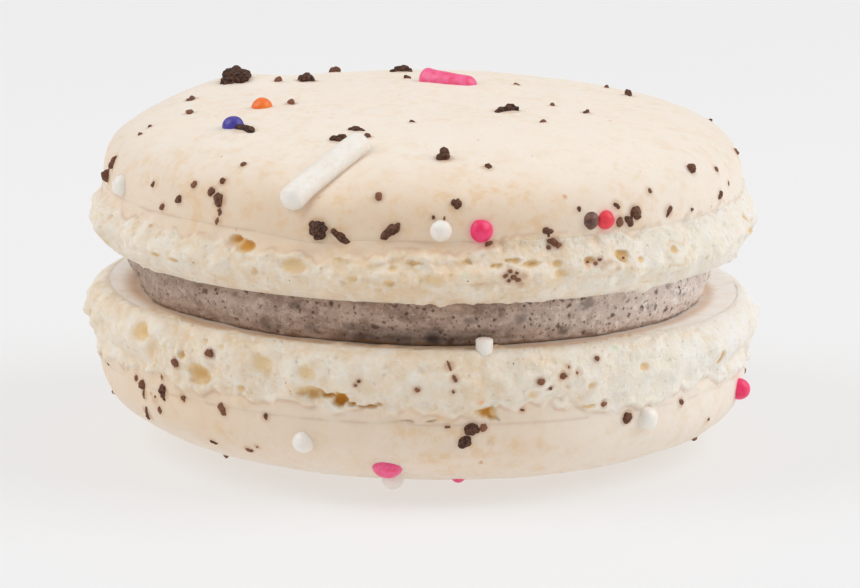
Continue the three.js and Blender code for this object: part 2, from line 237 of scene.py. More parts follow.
# Bubbles: bearing, height over the rim, width, height, depth and, for some, how torn
UPPER.bubbles = [
    (-50.2, 1.9, 1.3, 0.4, 0.6),
    (-45.5, 1.8, 1.2, 0.4, 0.45),
    (-33.6, 3.8, 1.2, 0.75, 1, 0.1),
    (-31.4, 3.5, 1.8, 0.95, 1.1, 0.15),
    (-29.7, 2.75, 1.6, 0.7, 0.3),
    (-29, 1.9, 0.8, 0.8, 0.5),
    (-22, 2.5, 2.5, 1.3, 0.6),
    (-14, 3.2, 1, 0.35, 0.4, 0.6),
    (-11.5, 2, 1, 0.5, 0.45),
    (-5.5, 1.8, 1.1, 0.7, 0.5),
    (-5, 2.8, 0.8, 0.5, 0.5),
    (-1.5, 3.2, 1.4, 0.35, 0.45, 0.6),
    (2, 2.2, 2.2, 0.9, 0.35),
    (6.5, 3.2, 1.6, 0.45, 0.4, 0.6),
    (11.5, 2.95, 1.1, 0.45, 0.65, 0.4),
    (14.5, 3.3, 1.4, 0.4, 0.6, 0.4),
    (17.5, 3.0, 1.7, 0.5, 0.6, 0.5),
    (22.3, 2.85, 1, 0.6, 0.6),
    (22.8, 2.2, 1.6, 0.8, 0.5),
    (28, 3, 1.1, 0.6, 0.7),
    (34.3, 3.1, 1.5, 0.9, 0.8, 0.6),
    (38, 2.6, 0.9, 0.5, 0.6),
    (45.5, 2.9, 0.9, 0.6, 0.6),
    *back_bubbles(20, 5),
]
LOWER.bubbles = [
    (-55.5, 1.2, 2.6, 1.5, 0.7, 0),
    (-51.5, 3.4, 0.6, 0.4, 0.5),
    (-44, 2, 0.9, 0.5, 0.7),
    (-40.7, 3.2, 2.3, 1.7, 0.8),
    (-39.5, 0.8, 0.7, 0.6, 0.4),
    (-35.5, 0.9, 0.7, 0.6, 0.4),
    (-32, 3.7, 0.9, 0.8, 0.6),
    (-27.7, 1.7, 2.4, 1.8, 0.45),
    (-19.5, 1.9, 2, 1.5, 0.45),
    (-18.8, 3.35, 2.3, 0.9, 0.8),
    (-16.2, 3.5, 1.5, 0.5, 1),
    (-14, 3.65, 1.2, 1.2, 1.4, 0.6),
    (-11.9, 3.95, 0.6, 0.35, 0.9),
    (-10.6, 4.1, 0.8, 0.18, 0.9, 0.5),
    (-8.8, 4, 1, 0.3, 0.9),
    (-7.2, 3.8, 0.7, 0.35, 0.5),
    (-2, 5.05, 2.2, 0.14, 0.6, 0.4),
    (1, 4.95, 0.9, 0.14, 0.7, 0.4),
    (10.5, 4.5, 1.8, 0.9, 1.1),
    (18, 3.1, 1.2, 0.9, 0.4),
    (28.5, 2.8, 0.9, 0.8, 0.35),
    (28.5, 4.4, 1.5, 0.4, 0.6),
    (39, 1.9, 1.1, 0.7, 0.6),
    (56, 4.1, 0.9, 0.8, 0.4),
    (59.5, 2.6, 0.9, 1.2, 0.9),
    *back_bubbles(20, 6),
]

# Cookie crumbs on the domes: bearing, climb from skirt to apex, size across and up the slope, turn in
# degrees and thickness, where they aren't the usual ones
UPPER.dome_crumbs = [
    (-114, 62, 2.6, 2.3, 0, 1.9), (-128, 77, 1.8, 1.4, 15, 1.4), (-155, 58, 1.0, 0.7, 0, 0.8),
    (-172, 71, 1.8, 0.9, -5, 0.9), (-170, 86, 0.6, 0.4), (-118.5, 73, 0.8, 0.6), (-98, 54, 1.3, 0.7, 0, 0.6),
    (-80, 54, 1.1, 0.6, 0, 0.6), (-77, 38, 0.4, 0.4), (-74.5, 32, 0.4, 0.4), (-50.5, 57, 2.1, 0.9, 12, 1.0),
    (-72.5, 80, 0.9, 0.6), (-77, 3, 0.8, 1.2, 0, 1.3), (-74.5, 11, 0.6, 1.1, 0, 0.7), (-55.5, 9, 0.4, 0.5),
    (-44.5, 14, 0.6, 0.6), (-47.5, 5, 0.6, 0.7), (-52, 1, 0.6, 0.6), (-40, 12, 0.7, 0.7),
    (-38, 8, 0.9, 1.1), (-37.5, 3, 0.5, 0.6), (-38, 0.5, 0.4, 0.7), (-38.5, 19, 0.5, 0.5),
    (-36.5, 32, 0.5, 0.5), (-22, 60, 1.5, 1.0, 20, 0.9), (-21, 69, 1.3, 0.8, 5, 0.7), (-15.5, 64, 0.6, 0.5),
    (-8, 19, 0.5, 0.7), (-18.2, 2.7, 1.6, 1.5), (-14, 0.3, 1.8, 0.7, -42), (-5.8, 1.45, 1.8, 0.8, 38),
    (4, 48, 1.1, 1.1), (12.5, 40, 0.55, 0.7), (44, 85, 2.3, 1.1, -4, 1.1), (126, 85, 0.7, 0.4),
    (70, 81, 0.6, 0.4), (66, 72, 0.8, 0.5), (42.5, 73, 0.6, 0.4), (122.5, 59, 0.5, 0.4),
    (110.5, 59, 1.1, 0.6), (-5, 79, 0.5, 0.3), (5.5, 15, 0.8, 0.8), (21.1, 0.9, 0.9, 0.7, -20),
    (27, 9, 0.5, 0.5), (34.5, 9, 0.6, 0.6), (34.7, 2.1, 0.8, 0.8), (36.8, 1.9, 0.9, 0.8),
    (38.3, 4.2, 1.1, 1.1), (42.5, 14, 0.5, 0.5), (56.5, 21, 0.8, 0.8), (46.5, 2.6, 1.0, 0.5, 55),
    (53, 1.5, 0.4, 0.4), (63.5, 3, 0.7, 0.8), (68.5, 6, 0.3, 0.5), (65, 16, 0.5, 0.5),
    (83, 16, 0.5, 0.6), (102, 28, 0.4, 0.4), (1.55, 7.4, 0.25, 0.3), (3.4, 7, 0.2, 0.35),
    *back_crumbs(9, 21),
]
LOWER.dome_crumbs = [
    (-57.5, 0, 0.8, 0.7), (-57, 2.3, 0.4, 0.9), (-58, 13, 1.4, 0.5, 65), (-51, 0, 0.65, 1.3),
    (-53.5, 3, 0.3, 0.8), (-52.5, 7.5, 0.6, 0.75), (-45.5, 0, 0.55, 0.5), (-36.5, 0.4, 1.0, 0.6, -50),
    (-27.5, 0.7, 0.4, 0.6), (-76.5, 14, 0.3, 0.4), (-41.5, 21, 0.7, 0.4), (-33.5, 22, 0.7, 0.5),
    (-31, 18, 0.3, 0.3), (-47, 42, 0.5, 0.4), (8, 0.8, 1.2, 0.9), (10, 0.7, 0.65, 0.6), (7, 6, 1.0, 1.1),
    (4, 0.3, 0.5, 0.3), (36.5, 1.3, 0.9, 0.9), (49.5, 0.3, 0.5, 0.5), (59, 15, 0.5, 0.5),
    (61, 34, 0.7, 0.5), (84.5, 4, 0.3, 0.5), (11, 7, 0.25, 0.2),
    *back_crumbs(7, 22),
]

# Cookie crumbs on the feet: bearing, height over the rim, size across and up, turn and thickness
UPPER.foot_crumbs = [
    (13.2, 2.3, 0.4, 0.3), (14, 2.6, 0.35, 0.3), (14.6, 2.15, 0.5, 0.4), (15.4, 1.95, 0.45, 0.4),
    (15, 2.5, 0.3, 0.25), (16.2, 2.3, 0.35, 0.25), (13.8, 1.9, 0.3, 0.25), (15.9, 1.6, 0.3, 0.25),
    (29, 2.75, 0.35, 0.3), (30, 2.95, 0.35, 0.25), (30.6, 2.6, 0.3, 0.25), (31.5, 2.7, 0.3, 0.25),
    (30, 2.4, 0.25, 0.2), (33, 2.3, 0.25, 0.2), (27.5, 2.9, 0.25, 0.2), (34.5, 2.9, 0.25, 0.2),
    (11, 4.35, 0.5, 0.7, -30), (22.1, 4.4, 0.9, 0.7, -35), (23.1, 4.1, 0.5, 0.4), (21.2, 4, 0.35, 0.3),
]
LOWER.foot_crumbs = [
    (-60, 5, 0.4, 0.45), (-45.5, 2.7, 0.75, 0.7), (-38, 1.5, 0.7, 0.6), (-75, 4.6, 0.3, 0.6),
    (-72, 4.9, 0.25, 0.45), (-51, 4.2, 0.2, 0.5), (19, 2.1, 0.6, 0.5), (23, 1.8, 0.6, 0.5),
    (24, 1.2, 0.3, 0.3), (29.5, 0.8, 0.4, 0.4), (4.2, 0.9, 0.9, 0.22, -70), (5, 1.7, 0.6, 0.3, -60),
    (-1, 2.6, 0.4, 0.3, -40), (31.5, 4.4, 0.5, 0.4), (16.5, 4.3, 0.4, 0.2), (25.5, 1.7, 0.3, 0.3),
    (21, 2.7, 0.3, 0.3), (-10.5, 2.2, 0.25, 0.25), (-11, 2.5, 0.2, 0.2), (4.8, 2.7, 0.2, 0.3),
]

# Sugar balls: bearing, climb, width, height up the slope, colour and, where it isn't the usual one, the
# lift of the centre over the skin
WHITE, PINK, ROSE, RED, BLUE, ORANGE, COCOA = "white", "pink", "rose", "red", "blue", "orange", "cocoa"
UPPER.balls = [
    (-72, 73, 1.6, 1.6, ORANGE, -0.1),
    (-55, 57, 1.65, 1.6, BLUE, 0.05),
    (-67.3, 3, 1.6, 1.6, WHITE, 0),
    (2.8, 2, 1.6, 1.6, WHITE),
    (9.6, 1.9, 1.7, 1.7, PINK),
    (32, 3.1, 1.6, 1.5, RED),
    (29.2, 3.4, 1.3, 1.4, COCOA),
]
LOWER.balls = [
    (-21.1, 10.5, 1.6, 1.65, WHITE, 0),
    (-7.5, 27, 2.2, 1.9, ROSE, -0.05),
    (-8, 40, 1.56, 1.56, WHITE, 0.2),
    (4.5, 44, 1.2, 1.0, ROSE, -0.45),
    (40.8, 3, 1.65, 1.7, WHITE, 0),
    (73, 6, 1.6, 1.6, PINK, 0.2),
]
# Flecks of coloured sugar on the feet: bearing, height over the rim and kind
UPPER.flecks = [(6.5, 2.4, "mint"), (27.5, 2.6, "amber")]
LOWER.flecks = [(33.5, 0.3, "mint"), (9.5, 3.6, "amber")]

BACK_COLOURS = [WHITE, ORANGE, BLUE, PINK, WHITE, RED]
for shell, count, seed in ((UPPER, 6, 11), (LOWER, 4, 12)):
    shell.balls += [
        (bearing, climb, 1.6, 1.6, colour)
        for (bearing, climb), colour in zip(back_balls(count, seed), BACK_COLOURS)
    ]

ROD_CAP = 0.75  # length of a rod's rounded end, as a share of its radius

# Sugar rods: bearing, climb and lift over the skin of each end, radius, bend and colour
UPPER.rods = [
    ((-23.5, 17, 0.15), (-15.8, 55, 0.15), 1, 0.1, WHITE),
    ((178, 89, 0.1), (147, 90, -0.25), ROD_RADIUS, 0.3, ROSE),
    ((150, 4, 0.2), (163, 17, 0.2), ROD_RADIUS, 0.1, ORANGE),
]
# The broken end of a rod that stands on the lower rim
STUB = SimpleNamespace(bearing=10.35, radius=0.62, reach=23.9, low=-0.9, high=0.75, cap=0.3, seed=7)


# Shape of a shell, as baked

def foot_radius(shell, height):
    """Radius of the foot at a height over its rim, before its lumps."""
    share = height / shell.foot_height
    ruffle = shell.bulge * np.exp(-(((share - shell.bulge_at) / shell.bulge_spread) ** 2))
    reach = np.clip(RIM_ROUNDING - height, 0, RIM_ROUNDING)
    rounding = RIM_ROUNDING - np.sqrt(RIM_ROUNDING**2 - reach**2)
    return shell.dome_radius + ruffle - rounding


def crease(shell, height):
    """Depth of the fold where the dome's skirt meets the foot."""
    return SKIRT_CREASE * np.exp(-(((height - shell.foot_height) / CREASE_WIDTH) ** 2))


def swell(shell, point):
    """How much the soft rises and dents of the dome add to a point's height."""
    rise = np.zeros(point.shape[:-1])
    for bearing, reach, width, high in shell.swells:
        centre = around(bearing, reach, 0)
        flat = np.sum((point[..., :2] - centre[:2]) ** 2, -1)
        rise = rise + high * np.exp(-flat / width**2)
    return rise


def dome_point(shell, bearing, share):
    """From 0 at the skirt to 1 at the edge of the flat apex, and to 2 at its middle."""
    angle = np.minimum(share, 1) * math.pi / 2
    inward = np.clip(np.cos(angle), 0, 1) ** shell.width_power
    radius = lerp(shell.apex_radius, shell.dome_radius, inward) + out_of_round(bearing) * inward
    rise = np.clip(np.sin(angle), 0, 1) ** shell.rise_power
    radius = radius * np.minimum(1, 2 - share)
    point = around(bearing, radius, shell.foot_height + shell.dome_height * rise)
    point[..., 0] += shell.apex_shift * rise**2
    point[..., 2] += swell(shell, point)
    return point


BAND_WIDTH = 0.6  # of the skin over the foot's froth, where a shell's bands don't set it
FROTH_EDGE = 0.16  # half of the height over which froth turns into skin
LIP = SimpleNamespace(out=0.16, below=0.3, width=0.25)  # of the froth, just under the skin


def skin_band(shell, bearing):
    """Height over the rim at which the foot's froth gives way to the dome's skin."""
    at = around(bearing, DIAMETER / 2, shell.noise_shift + 3)
    wander = relief(at, 3.4, 1, 0.9) + relief(at, 1.1, 1, 0.9) + relief(at, 0.45, 1, 0.4)
    angle = wrapped(bearing)
    width = BAND_WIDTH
    for start, end, band in shell.bands:
        inside = smooth(start - 8, start + 4, angle) * smooth(end + 8, end - 4, angle)
        width = lerp(width, band, inside)
    return shell.foot_height - width + wander


def froth_on_side(shell, bearing, height):
    """From 0 where the side has skin to 1 where it is froth."""
    return 1 - smooth(-FROTH_EDGE, FROTH_EDGE, height - skin_band(shell, bearing))


def froth_lip(shell, bearing, height):
    """How far the froth stands out just under the skin that it has torn from."""
    return LIP.out * np.exp(-(((height + LIP.below - skin_band(shell, bearing)) / LIP.width) ** 2))


BUBBLE_SHARE = 0.5  # of a bubble's listed depth that its hole has; the rest is only painted shade


def bubble_depth(shell, bearing, height):
    """Depth of the open bubbles. A deep one has a torn edge and a shallow one a round one, unless its
    row says how torn it is."""
    at = around(bearing, DIAMETER / 2, height + shell.noise_shift)
    tear_along = relief(at, 0.5, 0.4, 0.6) + relief(at + 9, 0.22, 0.2, 0.25)
    tear_up = relief(at + 31, 0.5, 0.4, 0.5) + relief(at + 45, 0.22, 0.2, 0.2)
    depth = np.zeros(at.shape[:-1])
    for centre, level, width, tall, deep, *torn in shell.bubbles:
        tear = torn[0] if torn else min(1, width / 1.6) * smooth(0.35, 1.1, deep)
        along = wrapped(bearing - centre) * math.pi / 180 * DIAMETER / 2
        across = (along + tear * tear_along) * 2 / width
        up = (height - level + tear * tear_up) * 2 / tall
        softness = lerp(1.1, 0.5, smooth(0.45, 0.9, deep))
        hole = deep * np.clip(1 - across**2 - up**2, 0, 1) ** softness
        depth = np.maximum(depth, np.where(np.abs(along) < width, hole, 0))
    return depth


CURD = SimpleNamespace(size=1.2, rise=0.3)
SMALL_CURD = SimpleNamespace(size=0.5, rise=0.13)
CURD_PATCH = 2.7  # size of the patches in which the curds are stronger
FOAM_SET_BACK = 0.08


def noise_of(at, size):
    """Noise at points, in lumps of a size."""
    return noise(*np.moveaxis(at / size, -1, 0))


def foam(at):
    """Relief of the froth, in round curds with creases between, and how deep in a crease a point is."""
    big, small = [np.abs(2 * noise_of(at, curd.size) - 1) for curd in (CURD, SMALL_CURD)]
    strong = 0.25 + 0.95 * smooth(0.25, 0.8, noise_of(at, CURD_PATCH))
    pits = 0.4 * pores(at, 0.95, 0.05, 0.42, 5) + 0.5 * pores(at, 0.42, 0.04, 0.17, 8)
    rise = strong * (CURD.rise * big + SMALL_CURD.rise * small) + relief(at, 0.24, 0.22, 0.07)
    rise = rise - pits - FOAM_SET_BACK
    crease = strong * (0.6 * (1 - big) ** 3 + 0.3 * (1 - small) ** 4) + 1.2 * pits
    return rise, np.clip(crease, 0, 1)


def placed(shell, point):
    """A point as baked, set where it is in the macaron."""
    x, y, z = (point[..., n] for n in range(3))
    if shell.up > 0:
        lean_x = x * math.cos(UPPER_LEAN) + z * math.sin(UPPER_LEAN)
        lean_z = z * math.cos(UPPER_LEAN) - x * math.sin(UPPER_LEAN)
        return np.stack([lean_x, y, lean_z + LOWER_SHELL_HEIGHT + BUTTERCREAM_THICKNESS], -1)

    lean = LOWER_RIM_LEAN * x * (1 - z / LOWER_SHELL_HEIGHT)
    return np.stack([x, y, LOWER_SHELL_HEIGHT - z - lean], -1)


def grid_normals(points):
    """Unit normals of rings of points, all away from the middle of the biscuit."""
    along = np.roll(points, -1, 1) - np.roll(points, 1, 1)
    up = np.gradient(points, axis=0)
    normal = np.cross(along, up)
    length = np.linalg.norm(normal, axis=-1, keepdims=True)
    return normal / np.maximum(length, 1e-9)


# Where a topping lies

def place_on(shell, point_at, bearing, up, step):
    """The point and the directions across the skin, up its slope and out of it."""
    def point(b, u):
        return placed(shell, point_at(float(b), float(u)))

    middle = point(bearing, up)
    across = point(bearing + 1, up) - point(bearing - 1, up)
    slope = point(bearing, up + step) - point(bearing, up - step)
    out = np.cross(across, slope)
    out = out * np.sign(np.dot(out, middle - np.array([0, 0, HEIGHT / 2])))
    across, out = across / np.linalg.norm(across), out / np.linalg.norm(out)
    return SimpleNamespace(point=middle, across=across, slope=np.cross(out, across), out=out)


def on_dome(shell, bearing, climb):
    spot = place_on(shell, lambda b, c: dome_point(shell, b, c / 90), bearing, max(climb, 2), 2)
    spot.point = placed(shell, dome_point(shell, float(bearing), climb / 90))
    return spot


def on_foot(shell, bearing, level):
    def point_at(b, height):
        at = around(b, DIAMETER / 2, height + shell.noise_shift)
        radius = foot_radius(shell, height) + foot_lumps(shell, at, height)
        return around(b, radius + out_of_round(b), height)

    return place_on(shell, point_at, bearing, level, 0.4)


def foot_lumps(shell, at, height):
    """The broad unevenness of the foot, which fades towards its rim and the skirt."""
    fade = np.sin(math.pi * np.clip(height / shell.foot_height, 0, 1)) ** 0.6
    return fade * (relief(at, 2.6, 1.6, 0.7) + relief(at, 1.15, 0.9, 0.55))


# Meshes

def skin(points, cap_start=None, cap_end=None, **facts):
    """Joins rings of points, shaped rows by sides, into a skin with its own UV rectangle."""
    rows, sides = points.shape[:2]
    number = np.arange(rows * sides).reshape(rows, sides)
    u = np.arange(sides + 1) / sides
    v = lerp(0.01, 0.99, np.arange(rows) / (rows - 1))
    corner = np.roll(number, -1, 1)
    quads = np.stack([number[:-1], corner[:-1], corner[1:], number[1:]], -1).reshape(-1, 4)
    grid_uv = np.stack(np.meshgrid(u, v), -1)
    corner_uv = [grid_uv[:-1, :-1], grid_uv[:-1, 1:], grid_uv[1:, 1:], grid_uv[1:, :-1]]
    quad_uv = np.stack(corner_uv, 2).reshape(-1, 4, 2)
    verts = [points.reshape(-1, 3)]
    tris, tri_uv = [], []
    values = {key: [np.asarray(value, float).reshape(-1)] for key, value in facts.items()}
    for cap, row, edge_v, tip_v in ((cap_start, 0, v[0], 0.0), (cap_end, rows - 1, v[-1], 1.0)):
        if cap is None:
            continue
        tip = sum(len(block) for block in verts)
        verts.append(np.asarray(cap, float).reshape(1, 3))
        for key in values:
            ring = np.asarray(facts[key], float).reshape(rows, sides)[row]
            values[key].append(ring.mean().reshape(1))
        a, b = number[row], corner[row]
        pair = (b, a) if row == 0 else (a, b)
        tris.append(np.stack([*pair, np.full(sides, tip)], -1))
        ends = (u[1:], u[:-1]) if row == 0 else (u[:-1], u[1:])
        edge = [np.stack([side, np.full(sides, edge_v)], -1) for side in ends]
        middle = np.stack([(u[:-1] + u[1:]) / 2, np.full(sides, tip_v)], -1)
        tri_uv.append(np.stack([*edge, middle], 1))
    return SimpleNamespace(
        verts=np.concatenate(verts),
        quads=quads,
        quad_uv=quad_uv,
        tris=np.concatenate(tris) if tris else np.zeros((0, 3), int),
        tri_uv=np.concatenate(tri_uv) if tris else np.zeros((0, 3, 2)),
        facts={key: np.concatenate(blocks) for key, blocks in values.items()},
    )


def turned(one):
    """The same skin with its faces the other way out."""
    one.quads, one.quad_uv = one.quads[:, ::-1], one.quad_uv[:, ::-1]
    one.tris, one.tri_uv = one.tris[:, ::-1], one.tri_uv[:, ::-1]
    return one


def make_piece(name, skins, material, node):
    """One object of one or more skins, each with its own square of the UV map."""
    across = math.ceil(math.sqrt(len(skins)))
    verts, loops, starts, totals, uvs = [], [], [], [], []
    vert_count = loop_count = 0
    for index, one in enumerate(skins):
        tile = np.array([index % across, index // across])
        for faces, uv in ((one.quads, one.quad_uv), (one.tris, one.tri_uv)):
            sides = faces.shape[1]
            loops.append((faces + vert_count).reshape(-1))
            starts.append(loop_count + sides * np.arange(len(faces)))
            totals.append(np.full(len(faces), sides))
            uvs.append(((uv.reshape(-1, 2) * 0.96 + 0.02) + tile) / across)
            loop_count += faces.size
        verts.append(one.verts)
        vert_count += len(one.verts)
    mesh = bpy.data.meshes.new(name)
    mesh.vertices.add(vert_count)
    mesh.vertices.foreach_set("co", (np.concatenate(verts) * MM).ravel().astype(np.float32))
    mesh.loops.add(loop_count)
    mesh.loops.foreach_set("vertex_index", np.concatenate(loops).astype(np.int32))
    mesh.polygons.add(sum(len(block) for block in starts))
    mesh.polygons.foreach_set("loop_start", np.concatenate(starts).astype(np.int32))
    mesh.polygons.foreach_set("loop_total", np.concatenate(totals).astype(np.int32))
    layer = mesh.uv_layers.new(name="UVMap")
    layer.data.foreach_set("uv", np.concatenate(uvs).ravel().astype(np.float32))
    for key in skins[0].facts:
        values = np.concatenate([one.facts[key] for one in skins])
        mesh.attributes.new(key, "FLOAT", "POINT").data.foreach_set("value", values.astype(np.float32))
    mesh.update(calc_edges=True)
    mesh.validate()
    mesh.polygons.foreach_set("use_smooth", np.ones(len(mesh.polygons), bool))
    mesh.materials.append(material)
    piece = bpy.data.objects.new(name, mesh)
    bpy.context.collection.objects.link(piece)
    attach(piece, "root")
    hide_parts(node)


# Shader values

class Value:
    """A value in a material's node tree. An expression on values adds its Math nodes."""

    def __init__(self, tree, socket):
        self.tree, self.socket = tree, socket

    def node(self, kind, settings, inputs, output=0):
        """Any other node: its settings are set first, then its sockets get values or links."""
        made = self.tree.nodes.new(kind)
        for key, setting in settings.items():
            setattr(made, key, setting)
        for key, given in inputs.items():
            if isinstance(given, Value):
                self.tree.links.new(given.socket, made.inputs[key])
            elif made.inputs[key].type == "RGBA":
                made.inputs[key].default_value = (*given, 1)
            else:
                made.inputs[key].default_value = given
        return Value(self.tree, made.outputs[output])

    def maths(self, operation, *given):
        """One Math node, fed with values or numbers."""
        return self.node("ShaderNodeMath", {"operation": operation}, dict(enumerate(given)))

    def __add__(self, other):
        return self.maths("ADD", self, other)

    def __sub__(self, other):
        return self.maths("SUBTRACT", self, other)

    def __rsub__(self, other):
        return self.maths("SUBTRACT", other, self)

    def __mul__(self, other):
        return self.maths("MULTIPLY", self, other)

    __radd__ = __add__
    __rmul__ = __mul__

    def most(self, other):
        return self.maths("MAXIMUM", self, other)

    def rising(self, low, high):
        """From 0 at low to 1 at high, with soft ends."""
        ends = {"From Min": low, "From Max": high, "Value": self}
        return self.node("ShaderNodeMapRange", {"interpolation_type": "SMOOTHSTEP"}, ends)

    def attribute(self, name):
        return self.node("ShaderNodeAttribute", {"attribute_name": name}, {}, "Fac")

    def place(self, stretch=(1, 1, 1)):
        """The object's own coordinates in millimetres, stretched."""
        spot = self.node("ShaderNodeTexCoord", {}, {}, "Object")
        scale = tuple(1 / (MM * one) for one in stretch)
        return self.node("ShaderNodeVectorMath", {"operation": "MULTIPLY"}, {0: spot, 1: scale})

    def clouds(self, size, detail=2.0, rough=0.5, stretch=(1, 1, 1)):
        inputs = {"Vector": self.place(stretch), "Scale": 1 / size, "Detail": detail, "Roughness": rough}
        return self.node("ShaderNodeTexNoise", {}, inputs)

    def dots(self, spacing, radius, share, ragged=0.0, core=0.6):
        """Dots in a share of the cells of a spacing, round or ragged, dark as far out as the core."""
        spot = self.place()
        if ragged:
            inputs = {"Vector": spot, "Scale": 3 / spacing, "Detail": 2.0}
            shift = self.node("ShaderNodeTexNoise", {}, inputs, "Color")
            inputs = {0: shift, 1: (ragged, ragged, ragged), 2: spot}
            spot = self.node("ShaderNodeVectorMath", {"operation": "MULTIPLY_ADD"}, inputs)
        inputs = {"Vector": spot, "Scale": 1 / spacing}
        far = self.node("ShaderNodeTexVoronoi", {}, inputs, "Distance") * spacing
        draw = self.node("ShaderNodeTexVoronoi", {}, inputs, "Color")
        draw = self.node("ShaderNodeSeparateColor", {}, {0: draw}, 0)
        return (1 - far.rising(radius * core, radius)) * self.maths("LESS_THAN", draw, share)

    def mixed(self, base, other):
        """A colour that goes from base to other as this value goes from 0 to 1."""
        inputs = {0: self, 6: base, 7: other}
        return self.node("ShaderNodeMix", {"data_type": "RGBA"}, inputs, 2)


def srgb(red, green, blue):
    """A colour as read off a picture, from 0 to 255, as the shader takes it."""
    return tuple(
        (c / 255 / 12.92) if c <= 10 else ((c / 255 + 0.055) / 1.055) ** 2.4 for c in (red, green, blue)
    )


def new_material(name, **constants):
    """A material with its one shader, whose own sockets hold what is the same all over."""
    material = bpy.data.materials.new(name)
    material.use_nodes = True
    tree = material.node_tree
    shader = tree.nodes["Principled BSDF"]
    for key, given in constants.items():
        shader.inputs[key.replace("_", " ")].default_value = given
    start = Value(tree, None)

    def feed(name, value):
        tree.links.new(value.socket, shader.inputs[name])

    return material, start, feed


def bump(start, height, depth):
    """A normal from a height that goes from 0 to 1, over a depth in millimetres."""
    inputs = {"Height": height, "Distance": depth * MM, "Strength": 1.0}
    return start.node("ShaderNodeBump", {}, inputs)


def dome_skin_colour(start):
    """Smooth baked skin, white to tan with its tone, with tan blotches and small flecks."""
    tone = start.attribute("tone") + (start.clouds(4, 4, 0.6) - 0.5) * 0.7
    colour = tone.rising(-1, 0).mixed(srgb(255, 252, 248), srgb(246, 234, 220))
    colour = tone.rising(0, 1).mixed(colour, srgb(238, 214, 187))
    blotch = start.clouds(1.3, 4, 0.65).rising(0.46, 0.68) * start.clouds(7, 1).rising(0.3, 0.6)
    blotch = blotch * (tone.rising(0.1, 0.8) * 0.45 + 0.25)
    colour = blotch.mixed(colour, srgb(234, 198, 150))
    fleck = start.clouds(0.5, 3, 0.6).rising(0.55, 0.68)
    return (fleck * 0.14).mixed(colour, srgb(228, 196, 158))


def foam_colour(start, pits):
    """Froth, white to cream with its tone, whiter in small clouds, with painted gold shade in its pits."""
    tone = start.attribute("tone") + (start.clouds(1.7, 3, 0.55) - 0.5) * 1.6 + 0.15
    colour = tone.rising(-1, 0).mixed(srgb(255, 252, 248), srgb(253, 242, 226))
    colour = tone.rising(0, 1).mixed(colour, srgb(242, 216, 182))
    white = start.clouds(0.75, 5, 0.65).rising(0.45, 0.65)
    colour = (white * 0.4).mixed(colour, srgb(255, 249, 242))
    # Painted shade in the small pits, which are only bumps.
    return (pits * 0.3).mixed(colour, srgb(236, 204, 156))


def meringue_material():
    """Baked meringue: a smooth skin, paler on top, and the whitish froth of the feet, with painted gold
    shade in its creases, pits and bubbles. Cookie stains both; pink halos lie round pink and red balls,
    and painted shadows lie beside the sugar rod and along the skin's edge over the froth."""
    material, start, feed = new_material(
        "meringue", Specular_IOR_Level=0.3, Subsurface_Weight=0.2, Subsurface_Radius=(1.0, 0.75, 0.55),
        Subsurface_Scale=0.8 * MM,
    )
    froth, hollow_shade = start.attribute("froth"), start.attribute("hollow_shade")
    # Small pits in the froth, given as bumps and, in foam_colour, painted gold shade.
    pits = start.dots(0.55, 0.17, 0.35, 0.3, 0.1).most(start.dots(1.1, 0.3, 0.35, 0.5, 0.1)) * froth
    colour = froth.mixed(dome_skin_colour(start), foam_colour(start, pits))
    # Painted shade: gold in the froth's creases and deep amber in its bubbles, for their depth and the light
    # through their thin walls.
    colour = hollow_shade.rising(0.08, 0.5).mixed(colour, srgb(240, 211, 164))
    colour = hollow_shade.rising(0.5, 1.0).mixed(colour, srgb(216, 154, 62))
    # Stains of crumbs, a tan line at the skirt and by the filling, and painted shade: the rod's shadow and a
    # gold line along the skin's edge over the froth.
    colour = start.attribute("stain_and_shade").mixed(colour, srgb(196, 142, 96))
    freckles = start.dots(1.9, 0.16, 0.3, 0.3, 0.1).most(start.dots(3.4, 0.3, 0.3, 0.5, 0.1))
    colour = (freckles * 0.75).mixed(colour, srgb(212, 158, 104))
    specks = start.dots(2.9, 0.09, 0.25).most(start.dots(1.4, 0.08, 0.3, 0.1) * froth)
    colour = (specks * 0.8).mixed(colour, srgb(120, 76, 54))
    for mark, tint in (("pink_halo", (250, 112, 150)), ("mint", (186, 228, 184)), ("amber", (250, 172, 120))):
        colour = start.attribute(mark).mixed(colour, srgb(*tint))
    feed("Base Color", colour)
    feed("Roughness", start.clouds(0.7, 3).rising(0.2, 0.8) * 0.2 + 0.5 + froth * 0.1)
    smooth_grain = (start.clouds(0.28, 4, 0.6) * 0.2 + start.clouds(1.7, 3) * 0.3) * (1 - froth)
    foam_grain = (start.clouds(0.26, 4, 0.65) * 1.5 - pits * 0.7) * froth
    feed("Normal", bump(start, smooth_grain + foam_grain, 0.1))
    return material


